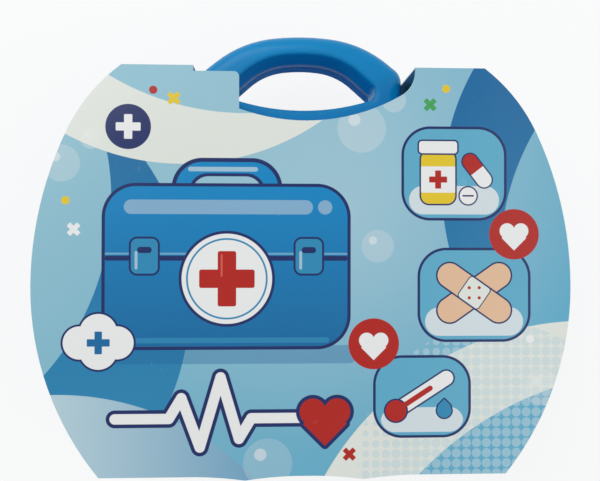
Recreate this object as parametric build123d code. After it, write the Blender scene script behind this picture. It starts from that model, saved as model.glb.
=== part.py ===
"""Toy doctor case in its printed card wrap, as separate pieces, in millimetres.

The closed case lies on its back.  +X is to the right, +Y points to the carrying handle and +Z out
of the front of the card.  The origin is the centre of the card's back face, on which it all rests.
"""

import math
import os

from build123d import *

# ---------------------------------------------------------------- card wrap
card_height = 200.7        # bottom fold to top fold
card_depth = 94.0
card_thick = 0.6
card_top_half = 89.4       # half width at the top fold
card_bottom_half = 99.7    # half width at the bottom fold
card_mid_half = 132.5      # half width where the sides bulge most
card_mid_up = 92.4         # height of that place above the bottom fold
card_shoulder_half = 115.4
card_shoulder_up = 168.8
fold_gap = 0.3             # between two panels at a fold
cut_half = 54.6            # half width of the opening for the handle
cut_drop = 26.7            # lowest place of that opening below the top fold
cut_radius = 95.0
cut_corner = 14.0
tab_inner = 32.3           # the tab left standing before the handle's left leg
tab_outer = 51.6
tab_drop = 2.8
tab_corner = 2.6
cusp_drop = 2.0            # front panel's lower edge dips where the hinges push the wrap out
cusp_half = 24.0
cusp_hollow = 0.3          # dip at a quarter of a cusp's width, as a share of its drop

# ---------------------------------------------------------------- case shells
wall = 2.0
draft = 1.5                # degrees
wrap_gap = 0.3             # card to case, front and back
side_gap = 1.5
seam_gap = 0.2
base_depth = 51.0
top_space = 4.6            # room for the latches under the card's top panel
low_corner = 26.0
high_corner = 16.0
edge_round = 7.0
well_gap = 1.0             # case to the edge of the card's opening
ear_round = 9.5
fin_width = 4.0            # fins that carry the tray
fin_thick = 2.0
fin_heights = (-45.0, 0.0, 40.0)
fin_apart = 62.0
fit_gap = 0.3              # a piece to the seat that holds it

# ---------------------------------------------------------------- handle
handle_rise = 24.2         # above the card's top fold
handle_half = 53.8
handle_radius = 130.0
handle_slope = 38.7        # degrees, each shoulder
handle_drop = 20.0         # from the handle's peak to the shoulder's outer end
handle_bend = 60.0         # between the peak's arc and a shoulder
handle_corner = 9.0
handle_deep = 13.0         # each half, from the seam outwards
handle_round = 7.0
bar_thick = 14.3           # at the seam
grip_half = 37.0
grip_roof_radius = 78.0
grip_slope = 42.0
grip_drop = 16.9           # from the finger hole's roof to its shoulder's outer end
grip_bend = 34.0
grip_low = 11.4            # rim left below the finger hole
grip_low_radius = 120.0
grip_corner = 3.0
grip_flare = 4.2           # front half: its roof rises this much towards the front
grip_round = 1.2
handle_wall = 3.0
handle_core = 9.0

# ---------------------------------------------------------------- hinge and latches
knuckle_radius = 3.5
knuckle_length = 8.0
knuckle_gap = 0.4
pin_radius = 1.5
running_gap = 0.05
hinge_apart = 29.0         # each hinge from the middle
hinge_inset = 1.5          # hinge axis inside the card's bottom face
web_foot = 9.0             # how far a knuckle's web runs down its wall
web_lip = 2.5
latch_apart = 73.0
latch_width = 22.0
latch_thick = 1.8
latch_drop = 13.0          # pivot below the seam
latch_reach = 6.0          # latch above the seam
latch_corner = 3.5
latch_barrel = 1.9
latch_pin = 1.0
lug_width = 3.0
loop_long = 12.0
loop_tall = 6.0
catch_wide = 16.0
catch_tall = 2.6
catch_stand = 3.4
catch_gap = 0.8

# ---------------------------------------------------------------- inner tray and what lies in it
tray_thick = 1.6
tray_drop = 2.0            # tray's top face below the seam
pocket_corner = 6.0
pocket_room = 1.0          # a loose toy to the edge of its pocket
dish_length = 104.0
dish_margin = 11.9         # tray's rim between each dish and the case's wall
dish_deep = 12.0
dish_wall = 1.5
dish_corner = 13.0
dish_from = 72.6           # inner side of each dish from the middle
dish_shift = -6.0

syringe_x = 55.0
syringe_start = -76.0
syringe_radius = 9.5
syringe_length = 62.0
syringe_wall = 1.3
nozzle_radius = 2.4
nozzle_length = 10.0
nozzle_bore = 1.0
flange_half = 13.0
flange_thick = 2.4
plunger_out = 16.0         # thumb disc beyond the flange at rest
plunger_travel = 24.0      # how much further it pulls out
thumb_radius = 8.5
thumb_thick = 2.4
rod_half = 5.0
rod_rib = 1.6
seal_length = 7.0

thermo_x = 23.0
thermo_from = -86.0
thermo_length = 92.0
thermo_width = 22.0
thermo_thick = 11.0
thermo_tip = 3.0
thermo_round = 2.5
window_long = 26.0
window_wide = 12.0
window_deep = 1.0
window_back = 26.0         # window's middle from the blunt end
window_corner = 2.0

monitor_x = -37.0
monitor_y = -46.0
monitor_width = 62.0
monitor_length = 84.0
monitor_thick = 14.0
monitor_corner = 9.0
monitor_round = 2.0
screen_long = 48.0
screen_wide = 28.0
screen_deep = 1.0
screen_back = 20.0         # screen's middle from the far end
screen_corner = 5.0
button_radius = 6.0
button_apart = 22.0
button_back = 58.0         # buttons' middle from the far end
button_stand = 2.0
button_press = 1.5
button_gap = 0.3

yoke_x = -12.0
yoke_y = 41.0
yoke_thick = 8.0
yoke_hole_long = 26.0
yoke_hole_wide = 12.0
yoke_rim = 6.0
ear_spread = 20.0          # degrees, each ear tube from the middle line
ear_offset = 6.0
ear_tube_radius = 3.0
ear_tube_length = 30.0
ear_tip_radius = 5.0
socket_radius = 4.4
socket_length = 10.0
socket_depth = 4.0
chest_x = 50.0
chest_y = 50.0
chest_radius = 13.0
chest_thick = 10.0
chest_round = 2.0
chest_dip = 1.0            # hollow in the chest piece's face

tweezers_length = 96.0
tweezers_open = 14.0
tweezers_tips = 5.0        # between the middles of the two tips
tweezers_arm = 2.6
tweezers_tall = 7.0

scissors_tip = 40.0        # pivot to the points
scissors_ring_y = 34.0     # pivot to the middle of the rings
scissors_width = 6.5
scissors_ring = 7.0
scissors_hole = 4.4
scissors_thick = 2.4
scissors_open = 18.0       # degrees between the halves as they lie
lever_boss = 0.62          # boss radius, shank width and jaw's belly, as shares of a jaw's size
lever_shank = 0.8
lever_belly = 0.55
rivet_radius = 1.6
rivet_head = 2.8
rivet_cap = 0.8

# ---------------------------------------------------------------- pieces in the lid
backdrop_thick = 0.5
rail_half = 80.0
rail_wide = 9.0
rail_thick = 3.0
rail_y = 56.0
arch_radius = 24.0
arch_hole = 17.0
peg_radius = 3.0
peg_length = 13.0
peg_head = 4.6
peg_cap = 2.0
peg_apart = 72.0
shelf_half = 45.0
shelf_y = -40.0
shelf_deep = 31.0
shelf_thick = 2.4
shelf_lip = 5.0
shelf_back = 12.0
shelf_corner = 14.0
box_wide = 34.0
box_tall = 46.0
box_deep = 20.0
box_x = -21.0
bag_wide = 46.0
bag_tall = 66.0
bag_thick = 7.0
bag_corner = 12.0
bag_neck = 11.0
bag_neck_corner = 9.9
bag_port = 4.0
label_wide = 24.0
label_tall = 26.0
label_thick = 0.5
label_corner = 2.0
clamp_tip = 50.0
clamp_ring_y = 42.0
clamp_width = 10.0
clamp_ring = 13.5
clamp_hole = 9.0
clamp_thick = 3.4
clamp_open = 18.0

# ---------------------------------------------------------------- places worked out from the above
top = card_height / 2
bottom = -top
seam = card_thick + wrap_gap + base_depth
lid_low = seam + seam_gap
lid_depth = card_depth - card_thick - wrap_gap - lid_low
case_top = top - card_thick - top_space
hinge_y = bottom + hinge_inset
case_bottom = hinge_y + fit_gap
well_low = top - cut_drop - well_gap
well_half = cut_half + well_gap
hinge_half = 1.5 * knuckle_length + knuckle_gap
latch_y = case_top + latch_barrel + fit_gap
tray_top = seam - tray_drop
backdrop_z = lid_low + lid_depth - wall - fit_gap - backdrop_thick
hang_z = backdrop_z - fit_gap          # what is fixed to the lid's picture card starts here
dish_width = card_mid_half - side_gap - wall - dish_margin - dish_from
dish_x = dish_from + dish_width / 2


# ---------------------------------------------------------------- helpers
def at(shape, x=0.0, y=0.0, z=0.0):
    """The shape moved by (x, y, z)."""
    return Pos(x, y, z) * shape


def slab(face, low, high):
    """The face, drawn on the XY plane, as a plate from height low to height high."""
    return at(extrude(face, high - low), z=low)


def bar(low, high):
    """A box between two opposite corners."""
    size = [b - a for a, b in zip(low, high)]
    middle = [(a + b) / 2 for a, b in zip(low, high)]
    return at(Box(*size), *middle)


def rod(radius, start, end):
    """A round rod from one point to another."""
    axis = Vector(*end) - Vector(*start)
    return extrude(Plane(origin=start, z_dir=axis) * Circle(radius), axis.length)


def rounded(length, width, corner, x=0.0, y=0.0):
    """A rectangle with round corners about the point (x, y)."""
    return at(RectangleRounded(length, width, corner), x, y)


def slot_between(start, end, width):
    """A round-ended strip from one point to another on the XY plane."""
    line = Vector(*end) - Vector(*start)
    turn = Vector(1, 0, 0).get_signed_angle(line, Vector(0, 0, 1))
    strip = at(SlotCenterToCenter(line.length, width), line.length / 2)
    return Pos(*start) * Rot(0, 0, turn) * strip


def save(shape, node):
    """Write one node, made of one solid or of several apart from each other."""
    solids = shape.solids()
    shape = solids[0] if len(solids) == 1 else Compound(solids)
    shape.label = node
    export_step(shape, os.path.join("parts", node + ".step"))


# ---------------------------------------------------------------- outlines
def card_outline():
    """Front view of the wrap: straight folds at top and bottom, sides in three tangent arcs."""
    widest = (card_mid_half, bottom + card_mid_up)
    low_arc = TangentArc(widest, (card_bottom_half, bottom), tangent=(0, -1))
    side_arc = TangentArc(widest, (card_shoulder_half, bottom + card_shoulder_up), tangent=(0, 1))
    crown_arc = TangentArc(side_arc @ 1, (card_top_half, top), tangent=side_arc % 1)
    right = [low_arc, side_arc, crown_arc]
    left = [mirror(arc, Plane.YZ) for arc in right]
    ends = ((card_top_half, top), (card_bottom_half, bottom))
    folds = [Line((-half, y), (half, y)) for half, y in ends]
    return make_face(Curve() + right + left + folds)


def handle_cut(grow=0.0):
    """Opening for the handle: a flat arc below, rounded corners and upright sides."""
    half = cut_half + grow
    low = top - cut_drop - grow
    tall = 2 * (cut_drop + handle_rise)
    band = at(Rectangle(2 * half, tall), y=low + tall / 2)
    shape = band & at(Circle(cut_radius + grow), y=low + cut_radius + grow)
    corners = [v for v in shape.vertices() if v.Y < top]
    return fillet(corners, cut_corner)


def case_outline(inset=0.0):
    """Front view of the moulded case, inset inside its outer wall, with the well for the handle."""
    tall = case_top - case_bottom
    band = at(Rectangle(4 * card_mid_half, tall), y=(case_top + case_bottom) / 2)
    face = offset(card_outline(), -side_gap) & band
    face = fillet(face.vertices().sort_by(Axis.Y)[:2], low_corner)
    face = fillet(face.vertices().sort_by(Axis.Y)[-2:], high_corner)
    face = face - handle_cut(well_gap)
    ears = [v for v in face.vertices() if v.Y > case_top - 0.01 and abs(v.X) < well_half + 0.01]
    face = fillet(ears, ear_round)
    return offset(face, -inset) if inset else face


def under_shoulders(half, y, slope):
    """All below two slopes that fall outwards and pass through (+-half, y)."""
    wide = 4 * card_mid_half
    face = Rectangle(wide, wide)
    for side in (-1, 1):
        across = Rot(0, 0, -side * slope) * Rectangle(wide, wide, align=(Align.CENTER, Align.MAX))
        face = face & at(across, side * half, y)
    return face


def bent(face, bend, corner, y):
    """The face with its upper middle corners bent and the others above y rounded."""
    points = [v for v in face.vertices() if v.Y > y]
    middle = sorted(points, key=lambda v: (abs(v.X), -v.Y))[:2]
    reach = max(abs(v.X) for v in middle) + 0.1
    face = fillet(middle, bend)
    ends = [v for v in face.vertices() if v.Y > y and any(abs(abs(v.X) - abs(w.X)) < 0.01 and abs(v.Y - w.Y) < 0.01
                                                          for w in points if abs(w.X) > reach)]
    return fillet(ends, corner)


def handle_crown():
    """Front view of the handle above the case, with a little of it below the case's top."""
    peak = top + handle_rise
    low = case_top - ear_round - 1
    band = at(Rectangle(2 * handle_half, peak - low), y=(peak + low) / 2)
    crown = band & at(Circle(handle_radius), y=peak - handle_radius)
    crown = crown & under_shoulders(handle_half, peak - handle_drop, handle_slope)
    return bent(crown, handle_bend, handle_corner, low + 0.01)


def handle_plate():
    """Front view of the plate below the handle, wider than the well that it fills."""
    return at(Rectangle(4 * well_half, 2 * cut_drop), y=case_top - ear_round - cut_drop)


def grip_hole(grow=0.0, flare=0.0):
    """Finger hole with a sloping roof and a floor along the well; flare lifts the roof alone."""
    roof = top + handle_rise - bar_thick
    low = well_low + grip_low - grow
    more = grow + flare
    half = grip_half + grow + flare / 2
    band = at(Rectangle(2 * half, 2 * top), y=top)
    above = at(Circle(grip_roof_radius + more), y=roof - grip_roof_radius)
    below = at(Circle(grip_low_radius + grow), y=low + grip_low_radius + grow)
    lift = more / math.cos(math.radians(grip_slope))
    shape = band & above & below & under_shoulders(grip_half, roof - grip_drop + lift, grip_slope)
    side = [v.Y for v in shape.vertices() if v.X > half - 0.01]
    return bent(shape, grip_bend + more, min(grip_corner, 0.75 * (max(side) - min(side))), low)


# ---------------------------------------------------------------- card wrap
def card_tab():
    """What stays of the front panel before the handle's left leg, below the top fold."""
    wide = tab_outer - tab_inner
    tab = rounded(wide, 2 * cut_drop, tab_corner, -tab_inner - wide / 2, top - tab_drop - cut_drop)
    corner = at(Rectangle(cut_half, cut_drop), -tab_outer - cut_half / 2 + tab_corner,
                top - tab_drop - cut_drop / 2)
    return (tab + corner) & handle_cut()


def card_cusp(x):
    """Shallow point of the front panel's lower edge, hollow on both sides."""
    tip = (x, bottom - cusp_drop)
    flanks = []
    for side in (-1, 1):
        half_way = (x + side * cusp_half / 2, bottom - cusp_hollow * cusp_drop)
        flanks.append(ThreePointArc((x + side * cusp_half, bottom), half_way, tip))
    return make_face(Curve() + flanks + [Line((x - cusp_half, bottom), (x + cusp_half, bottom))])


def card_back():
    return slab(card_outline() - handle_cut(), 0, card_thick)


def card_front():
    face = card_outline() - handle_cut() + card_tab()
    for x in hinge_places():
        face += card_cusp(x)
    return slab(face, card_depth - card_thick, card_depth)


def card_bottom():
    """Bottom panel, with a slot for each hinge."""
    low = card_thick + fold_gap
    panel = bar((-card_bottom_half, bottom, low), (card_bottom_half, bottom + card_thick, card_depth - low))
    half = hinge_half + 2 * knuckle_gap
    for side in (-1, 1):
        middle = side * hinge_apart
        panel -= bar((middle - half, bottom - card_thick, seam - web_foot),
                     (middle + half, bottom + 2 * card_thick, seam + web_foot))
    return panel


def card_top(side):
    """Top panel on one side of the handle."""
    low = card_thick + fold_gap
    ends = sorted((side * cut_half, side * card_top_half))
    return bar((ends[0], top - card_thick, low), (ends[1], top, card_depth - low))


# ---------------------------------------------------------------- hinges
def hinge_places():
    return [side * hinge_apart for side in (-1, 1)]


def knuckle(middle):
    """One hinge knuckle about the seam, with its web that runs down the shell's wall."""
    low = middle - knuckle_length / 2
    barrel = rod(knuckle_radius, (low, 0, 0), (low + knuckle_length, 0, 0))
    inside = fit_gap + wall
    outline = Polyline((-knuckle_radius, 0), (-knuckle_radius, web_lip), (fit_gap, web_foot),
                       (inside, web_foot), (inside, knuckle_radius), (0, 0), close=True)
    web = extrude(Plane.YZ.offset(low) * make_face(outline), knuckle_length)
    return at(barrel + web, y=hinge_y)


def hinge_rod(radius, x, z):
    """A rod along one hinge's axis, a little longer than its three knuckles."""
    room = hinge_half + knuckle_gap
    return rod(radius, (x - room, hinge_y, z), (x + room, hinge_y, z))


def with_knuckles(body, own_steps, axis_z):
    """The shell with a relief round each hinge, its own knuckles and their bores."""
    step = knuckle_length + knuckle_gap
    for x in hinge_places():
        body -= hinge_rod(knuckle_radius + knuckle_gap, x, axis_z)
        for own in own_steps:
            body += at(knuckle(x + own * step), z=axis_z)
        body -= hinge_rod(pin_radius + running_gap, x, axis_z)
    return body


def hinge_pin(x):
    """Pin through the three knuckles of one hinge."""
    return rod(pin_radius, (x - hinge_half, hinge_y, seam), (x + hinge_half, hinge_y, seam))


# ---------------------------------------------------------------- latches
def lug(middle):
    """Ear on the base's top wall that holds one end of a latch's axle, below the seam."""
    low, high = middle - lug_width / 2, middle + lug_width / 2
    ear = rod(latch_barrel, (low, latch_y, latch_drop), (high, latch_y, latch_drop))
    root = bar((low, case_top - wall, latch_drop - latch_barrel),
               (high, latch_y, latch_drop + latch_barrel))
    bore = rod(latch_pin + running_gap, (low - 1, latch_y, latch_drop), (high + 1, latch_y, latch_drop))
    return ear + root - bore


def catch(middle):
    """Ledge on the lid's top wall, just above the latch."""
    low = latch_reach + catch_gap - seam_gap
    ledge = bar((middle - catch_wide / 2, case_top - wall, low),
                (middle + catch_wide / 2, case_top + catch_stand, low + catch_tall))
    outer = ledge.edges().filter_by(Axis.X).group_by(Axis.Y)[-1]
    return chamfer(outer, catch_tall / 3)


def latch(side):
    """Loop with an oval hole on a barrel, and the axle that turns in the two lugs."""
    x = side * latch_apart
    pivot_z = seam - latch_drop
    tall = latch_drop + latch_reach
    plate = Plane.XZ * (at(Rectangle(latch_width, tall), x, pivot_z + tall / 2))
    plate = fillet(plate.vertices().group_by(Axis.Z)[-1], latch_corner)
    loop_z = pivot_z + tall - loop_tall
    loop = Plane.XZ * at(SlotOverall(loop_long, loop_tall), x, loop_z)
    strap = at(extrude(plate - loop, latch_thick / 2, both=True), y=latch_y)
    half = latch_width / 2
    barrel = rod(latch_barrel, (x - half, latch_y, pivot_z), (x + half, latch_y, pivot_z))
    reach = half + knuckle_gap + lug_width
    axle = rod(latch_pin, (x - reach, latch_y, pivot_z), (x + reach, latch_y, pivot_z))
    return strap + barrel + axle


# ---------------------------------------------------------------- case shells
def half_handle(flare):
    """Half of the handle, hollow towards the seam; the finger hole's roof slopes up by the flare."""
    solid = extrude(handle_crown(), handle_deep)
    edges = solid.faces().sort_by(Axis.Z)[-1].edges().sort_by(Axis.Y)
    solid = fillet(edges[1:], handle_round) + extrude(handle_plate(), handle_deep)
    solid = solid & extrude(handle_cut(well_gap + wall), handle_deep)
    if flare:
        ends = [grip_hole(), at(grip_hole(0, flare), z=handle_deep)]
        solid -= loft(Sketch() + ends, ruled=True)
    else:
        solid -= extrude(grip_hole(), handle_deep)
    face = solid.faces().sort_by(Axis.Z)[-1]
    solid = fillet(face.inner_wires()[0].edges(), grip_round)
    core = offset(handle_crown() + handle_plate(), -handle_wall) & handle_cut(well_gap + wall - handle_wall)
    room = grip_hole(handle_wall, flare * handle_core / handle_deep)
    return solid - extrude(core - room, handle_core)


def tub_outside(depth):
    """Outer form of a shell: open edge on the XY plane, drafted walls, rounded floor edge."""
    outer = extrude(case_outline(), depth, taper=draft)
    return fillet(outer.faces().sort_by(Axis.Z)[-1].edges(), edge_round)


def tub_inside(depth):
    """The space inside a shell."""
    inner = extrude(case_outline(wall), depth - wall, taper=draft)
    return fillet(inner.faces().sort_by(Axis.Z)[-1].edges(), edge_round - wall)


def tray_fins():
    """Upright fins along the base's walls that carry the tray."""
    strips = [at(Rectangle(4 * card_mid_half, fin_thick), y=y) for y in fin_heights]
    strips += [at(Rectangle(fin_thick, 2 * top), x, -top) for x in (-fin_apart, 0, fin_apart)]
    strips += [at(Rectangle(fin_thick, 2 * top), x, top) for x in (-latch_apart, latch_apart)]
    band = case_outline(wall) - case_outline(wall + fin_width)
    low = tray_drop + tray_thick + fit_gap
    face = Sketch() + [strip & band for strip in strips]
    return slab(face, low, base_depth - wall / 2)


def base_shell():
    outside = tub_outside(base_depth)
    body = outside - tub_inside(base_depth) + half_handle(0) + (tray_fins() & outside)
    body = with_knuckles(body, (-1, 1), 0)
    half = latch_width / 2 + knuckle_gap + lug_width / 2
    for x in (-latch_apart, latch_apart):
        body += lug(x - half)
        body += lug(x + half)
    return at(mirror(body, Plane.XY), z=seam)


def lid_shell():
    body = tub_outside(lid_depth) - tub_inside(lid_depth) + half_handle(grip_flare)
    body = with_knuckles(body, (0,), -seam_gap)
    for x in (-latch_apart, latch_apart):
        body += catch(x)
    return at(body, z=lid_low)


# ---------------------------------------------------------------- inner tray
def dish_face(side, grow=0.0):
    """Outline of a loose instrument dish: a rectangle with cut corners."""
    face = Rectangle(dish_width + 2 * grow, dish_length + 2 * grow)
    face = chamfer(face.vertices(), dish_corner)
    return at(face, side * dish_x, dish_shift)


def syringe_pocket():
    low = syringe_start - nozzle_length - pocket_room
    high = thumb_face() + plunger_travel + pocket_room
    return rounded(2 * flange_half + pocket_room, high - low, pocket_corner, syringe_x, (low + high) / 2)


def stethoscope_pocket():
    reach = yoke_hole_long / 2 + yoke_rim + socket_length + ear_tube_length + ear_tip_radius
    wide = 2 * (ear_ball(1).Y - yoke_y + ear_tip_radius + 2 * pocket_room)
    left = yoke_x - reach
    right = yoke_x + yoke_hole_long
    face = rounded(right - left, wide, pocket_corner, (left + right) / 2, yoke_y)
    channel = Rectangle(chest_x - yoke_x, 4 * socket_radius)
    face += at(channel, (chest_x + yoke_x) / 2, (chest_y + yoke_y) / 2)
    return face + at(Circle(chest_radius + pocket_room), chest_x, chest_y)


def thermometer_pocket():
    return rounded(thermo_width + 2 * fit_gap, thermo_length + 2 * fit_gap, pocket_corner, thermo_x,
                   thermo_from + thermo_length / 2)


def monitor_pocket():
    return rounded(monitor_width + 2 * fit_gap, monitor_length + 2 * fit_gap, monitor_corner,
                   monitor_x, monitor_y)


def pockets():
    """Each pocket of the tray as (outline, depth)."""
    return [
        (dish_face(-1, fit_gap), dish_deep),
        (dish_face(1, fit_gap), dish_deep),
        (syringe_pocket(), 2 * syringe_radius + 2 * fit_gap),
        (stethoscope_pocket(), 2 * ear_tip_radius + 2 * fit_gap),
        (thermometer_pocket(), thermo_thick),
        (monitor_pocket(), monitor_thick + pocket_room),
    ]


def seat(depth):
    """Height at which a piece lies in a pocket of this depth."""
    return tray_top - depth + fit_gap


def inner_tray():
    """White moulded tray: a plate that fits the base, with a walled pocket for each piece."""
    plate = slab(case_outline(wall + fit_gap), tray_top - tray_thick, tray_top)
    for face, depth in pockets():
        plate += slab(offset(face, tray_thick), tray_top - depth - tray_thick, tray_top)
    for face, depth in pockets():
        plate -= slab(face, tray_top - depth, tray_top + 1)
    for x in hinge_places():
        plate -= hinge_rod(knuckle_radius + 2 * knuckle_gap, x, seam)
    return plate


def side_dish(side):
    """Loose instrument dish with cut corners and a rounded floor edge."""
    low = seat(dish_deep)
    outer = slab(dish_face(side), low, tray_top)
    outer = chamfer(outer.faces().sort_by(Axis.Z)[0].edges(), dish_wall)
    return outer - slab(dish_face(side, -dish_wall), low + dish_wall, tray_top + 1)


# ---------------------------------------------------------------- pieces in the tray
def syringe_axis():
    return seat(2 * syringe_radius + 2 * fit_gap) + syringe_radius


def flange_face():
    return syringe_start + syringe_length + flange_thick


def thumb_face():
    return flange_face() + plunger_out + thumb_thick


def syringe_barrel():
    """Clear barrel with a nozzle and two finger wings."""
    z = syringe_axis()
    end = flange_face()
    body = rod(syringe_radius, (syringe_x, syringe_start, z), (syringe_x, end, z))
    body += rod(nozzle_radius, (syringe_x, syringe_start - nozzle_length, z), (syringe_x, syringe_start, z))
    wings = Plane(origin=(syringe_x, end, z), x_dir=(1, 0, 0), z_dir=(0, -1, 0))
    body += extrude(wings * Ellipse(flange_half, syringe_radius), flange_thick)
    bore = syringe_radius - syringe_wall
    body -= rod(bore, (syringe_x, syringe_start + syringe_wall, z), (syringe_x, end + 1, z))
    return body - rod(nozzle_bore, (syringe_x, syringe_start - 2 * nozzle_length, z), (syringe_x, 0, z))


def syringe_plunger():
    """Cross-ribbed rod with a seal at one end and a thumb disc at the other."""
    z = syringe_axis()
    end = thumb_face()
    seal_end = syringe_start + syringe_length / 3
    bore = syringe_radius - syringe_wall - fit_gap
    body = rod(bore, (syringe_x, seal_end - seal_length, z), (syringe_x, seal_end, z))
    for half_x, half_z in ((rod_half, rod_rib / 2), (rod_rib / 2, rod_half)):
        body += bar((syringe_x - half_x, seal_end, z - half_z), (syringe_x + half_x, end - 1, z + half_z))
    return body + rod(thumb_radius, (syringe_x, end - thumb_thick, z), (syringe_x, end, z))


def thermometer_face():
    """Blunt rounded head that narrows in long curves to the probe."""
    head = thermo_from + thermo_length
    half = thermo_width / 2
    neck = head - 2 * window_back
    tip = thermo_from
    right = [
        Line((half, head - half), (half, neck)),
        Bezier((half, neck), (half, neck - window_long / 2), (thermo_tip, tip + window_long),
               (thermo_tip, tip + thermo_tip)),
    ]
    left = [mirror(edge, Plane.YZ) for edge in right]
    ends = [
        ThreePointArc((-half, head - half), (0, head), (half, head - half)),
        ThreePointArc((-thermo_tip, tip + thermo_tip), (0, tip), (thermo_tip, tip + thermo_tip)),
    ]
    return at(make_face(Curve() + right + left + ends), thermo_x)


def window_face(grow=0.0):
    y = thermo_from + thermo_length - window_back
    return rounded(window_wide + 2 * grow, window_long + 2 * grow, window_corner, thermo_x, y)


def thermometer_body():
    low = seat(thermo_thick)
    high = low + thermo_thick
    body = slab(thermometer_face(), low, high)
    body = fillet(body.faces().sort_by(Axis.Z)[-1].edges(), thermo_round)
    return body - slab(window_face(fit_gap), high - window_deep - fit_gap, high + 1)


def thermometer_window():
    high = seat(thermo_thick) + thermo_thick
    return slab(window_face(), high - window_deep - fit_gap / 2, high - fit_gap / 2)


def monitor_far():
    """The monitor's end that is nearest to the hinge."""
    return monitor_y - monitor_length / 2


def screen_face(grow=0.0):
    y = monitor_far() + screen_back
    return rounded(screen_long + 2 * grow, screen_wide + 2 * grow, screen_corner, monitor_x, y)


def button_places():
    return [(monitor_x + end * button_apart / 2, monitor_far() + button_back) for end in (-1, 1)]


def monitor_top():
    return seat(monitor_thick + pocket_room) + monitor_thick


def monitor_case():
    """Shallow white box with a recessed screen and two wells for the buttons."""
    high = monitor_top()
    body = slab(rounded(monitor_width, monitor_length, monitor_corner, monitor_x, monitor_y),
                high - monitor_thick, high)
    body = fillet(body.faces().sort_by(Axis.Z)[-1].edges(), monitor_round)
    body -= slab(screen_face(fit_gap), high - screen_deep - fit_gap, high + 1)
    for x, y in button_places():
        well_deep = button_stand + 2 * button_press
        body -= slab(at(Circle(button_radius + button_gap), x, y), high - well_deep, high + 1)
    return body


def monitor_screen():
    high = monitor_top()
    return slab(screen_face(), high - screen_deep - fit_gap / 2, high - fit_gap / 2)


def monitor_button(place):
    x, y = place
    high = monitor_top() + button_stand
    low = monitor_top() - button_stand - button_press + fit_gap
    cap = slab(at(Circle(button_radius), x, y), low, high)
    return fillet(cap.faces().sort_by(Axis.Z)[-1].edges(), button_stand / 2)


def scope_axis():
    return seat(2 * ear_tip_radius + 2 * fit_gap) + ear_tip_radius


def ear_line(side):
    """Where the ear tube on one side starts at the yoke, and its direction."""
    start = Vector(yoke_x - yoke_hole_long / 2 - yoke_rim / 2, yoke_y + side * ear_offset, scope_axis())
    along = Vector(-1, 0, 0).rotate(Axis.Z, -side * ear_spread)
    return start, along


def chest_line():
    """Where the chest tube leaves the yoke, and its direction to the chest piece."""
    start = Vector(yoke_x + yoke_hole_long / 2 + yoke_rim / 2, yoke_y, scope_axis())
    along = (Vector(chest_x, chest_y, scope_axis()) - start).normalized()
    return start, along


def stethoscope_yoke():
    """Oval ring with three sockets: two for the ear tubes, one for the chest tube."""
    z = scope_axis()
    oval = SlotOverall(yoke_hole_long + 2 * yoke_rim, yoke_hole_wide + 2 * yoke_rim)
    oval -= SlotOverall(yoke_hole_long, yoke_hole_wide)
    body = slab(at(oval, yoke_x, yoke_y), z - yoke_thick / 2, z + yoke_thick / 2)
    for start, along in (ear_line(-1), ear_line(1), chest_line()):
        body += rod(socket_radius, start, start + along * socket_length)
    hollow = SlotOverall(yoke_hole_long, yoke_hole_wide)
    body -= slab(at(hollow, yoke_x, yoke_y), z - yoke_thick, z + yoke_thick)
    for start, along in (ear_line(-1), ear_line(1), chest_line()):
        end = start + along * (socket_length + 1)
        body -= rod(ear_tube_radius + running_gap, start + along * (socket_length - socket_depth), end)
    return body


def ear_tube(side):
    """White tube from its socket in the yoke to its ear tip."""
    start, along = ear_line(side)
    low = start + along * (socket_length - socket_depth + running_gap)
    return rod(ear_tube_radius, low, low + along * ear_tube_length)


def ear_end(side):
    """Bottom of the bore in which an ear tube ends."""
    start, along = ear_line(side)
    return start + along * (socket_length - socket_depth + ear_tube_length + 2 * running_gap)


def ear_ball(side):
    """Middle of the ball on an ear tube."""
    return ear_end(side) + ear_line(side)[1] * ear_tip_radius / 2


def ear_tip(side):
    """Soft ball on the end of an ear tube."""
    place = Plane(origin=ear_ball(side), z_dir=ear_line(side)[1])
    bore = rod(ear_tube_radius + running_gap, (0, 0, -2 * ear_tip_radius), (0, 0, -ear_tip_radius / 2))
    return place * (Sphere(ear_tip_radius) - bore)


def chest_tube():
    """White tube from the yoke to the chest piece's stem."""
    start, along = chest_line()
    low = start + along * (socket_length - socket_depth + running_gap)
    whole = (Vector(chest_x, chest_y, scope_axis()) - low).length
    return rod(ear_tube_radius, low, low + along * (whole - chest_radius - running_gap))


def chest_piece():
    """Round head of the stethoscope, with a rim and a hollow face."""
    z = scope_axis()
    body = slab(at(Circle(chest_radius), chest_x, chest_y), z - chest_thick / 2, z + chest_thick / 2)
    body = fillet(body.edges().filter_by(GeomType.CIRCLE), chest_round)
    hollow = at(Circle(chest_radius - 2 * chest_round), chest_x, chest_y)
    return body - slab(hollow, z + chest_thick / 2 - chest_dip, z + chest_thick)


def tweezers():
    """Two springy arms that run from one round bow to the tips."""
    low = seat(dish_deep) + dish_wall + fit_gap
    half = tweezers_open / 2
    bow_y = dish_shift - tweezers_length / 2 + half
    bend_y = bow_y + tweezers_length / 2
    tip_y = dish_shift + tweezers_length / 2
    bow = Circle(half + tweezers_arm / 2) - Circle(half - tweezers_arm / 2)
    face = at(bow, y=bow_y) & at(Rectangle(4 * half, 4 * half), y=bow_y - 2 * half)
    for side in (-1, 1):
        bend = (side * half, bend_y)
        for start, end in (((side * half, bow_y), bend), (bend, (side * tweezers_tips / 2, tip_y))):
            face += slot_between(start, end, tweezers_arm)
    return slab(at(face, dish_x), low, low + tweezers_tall)


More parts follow.
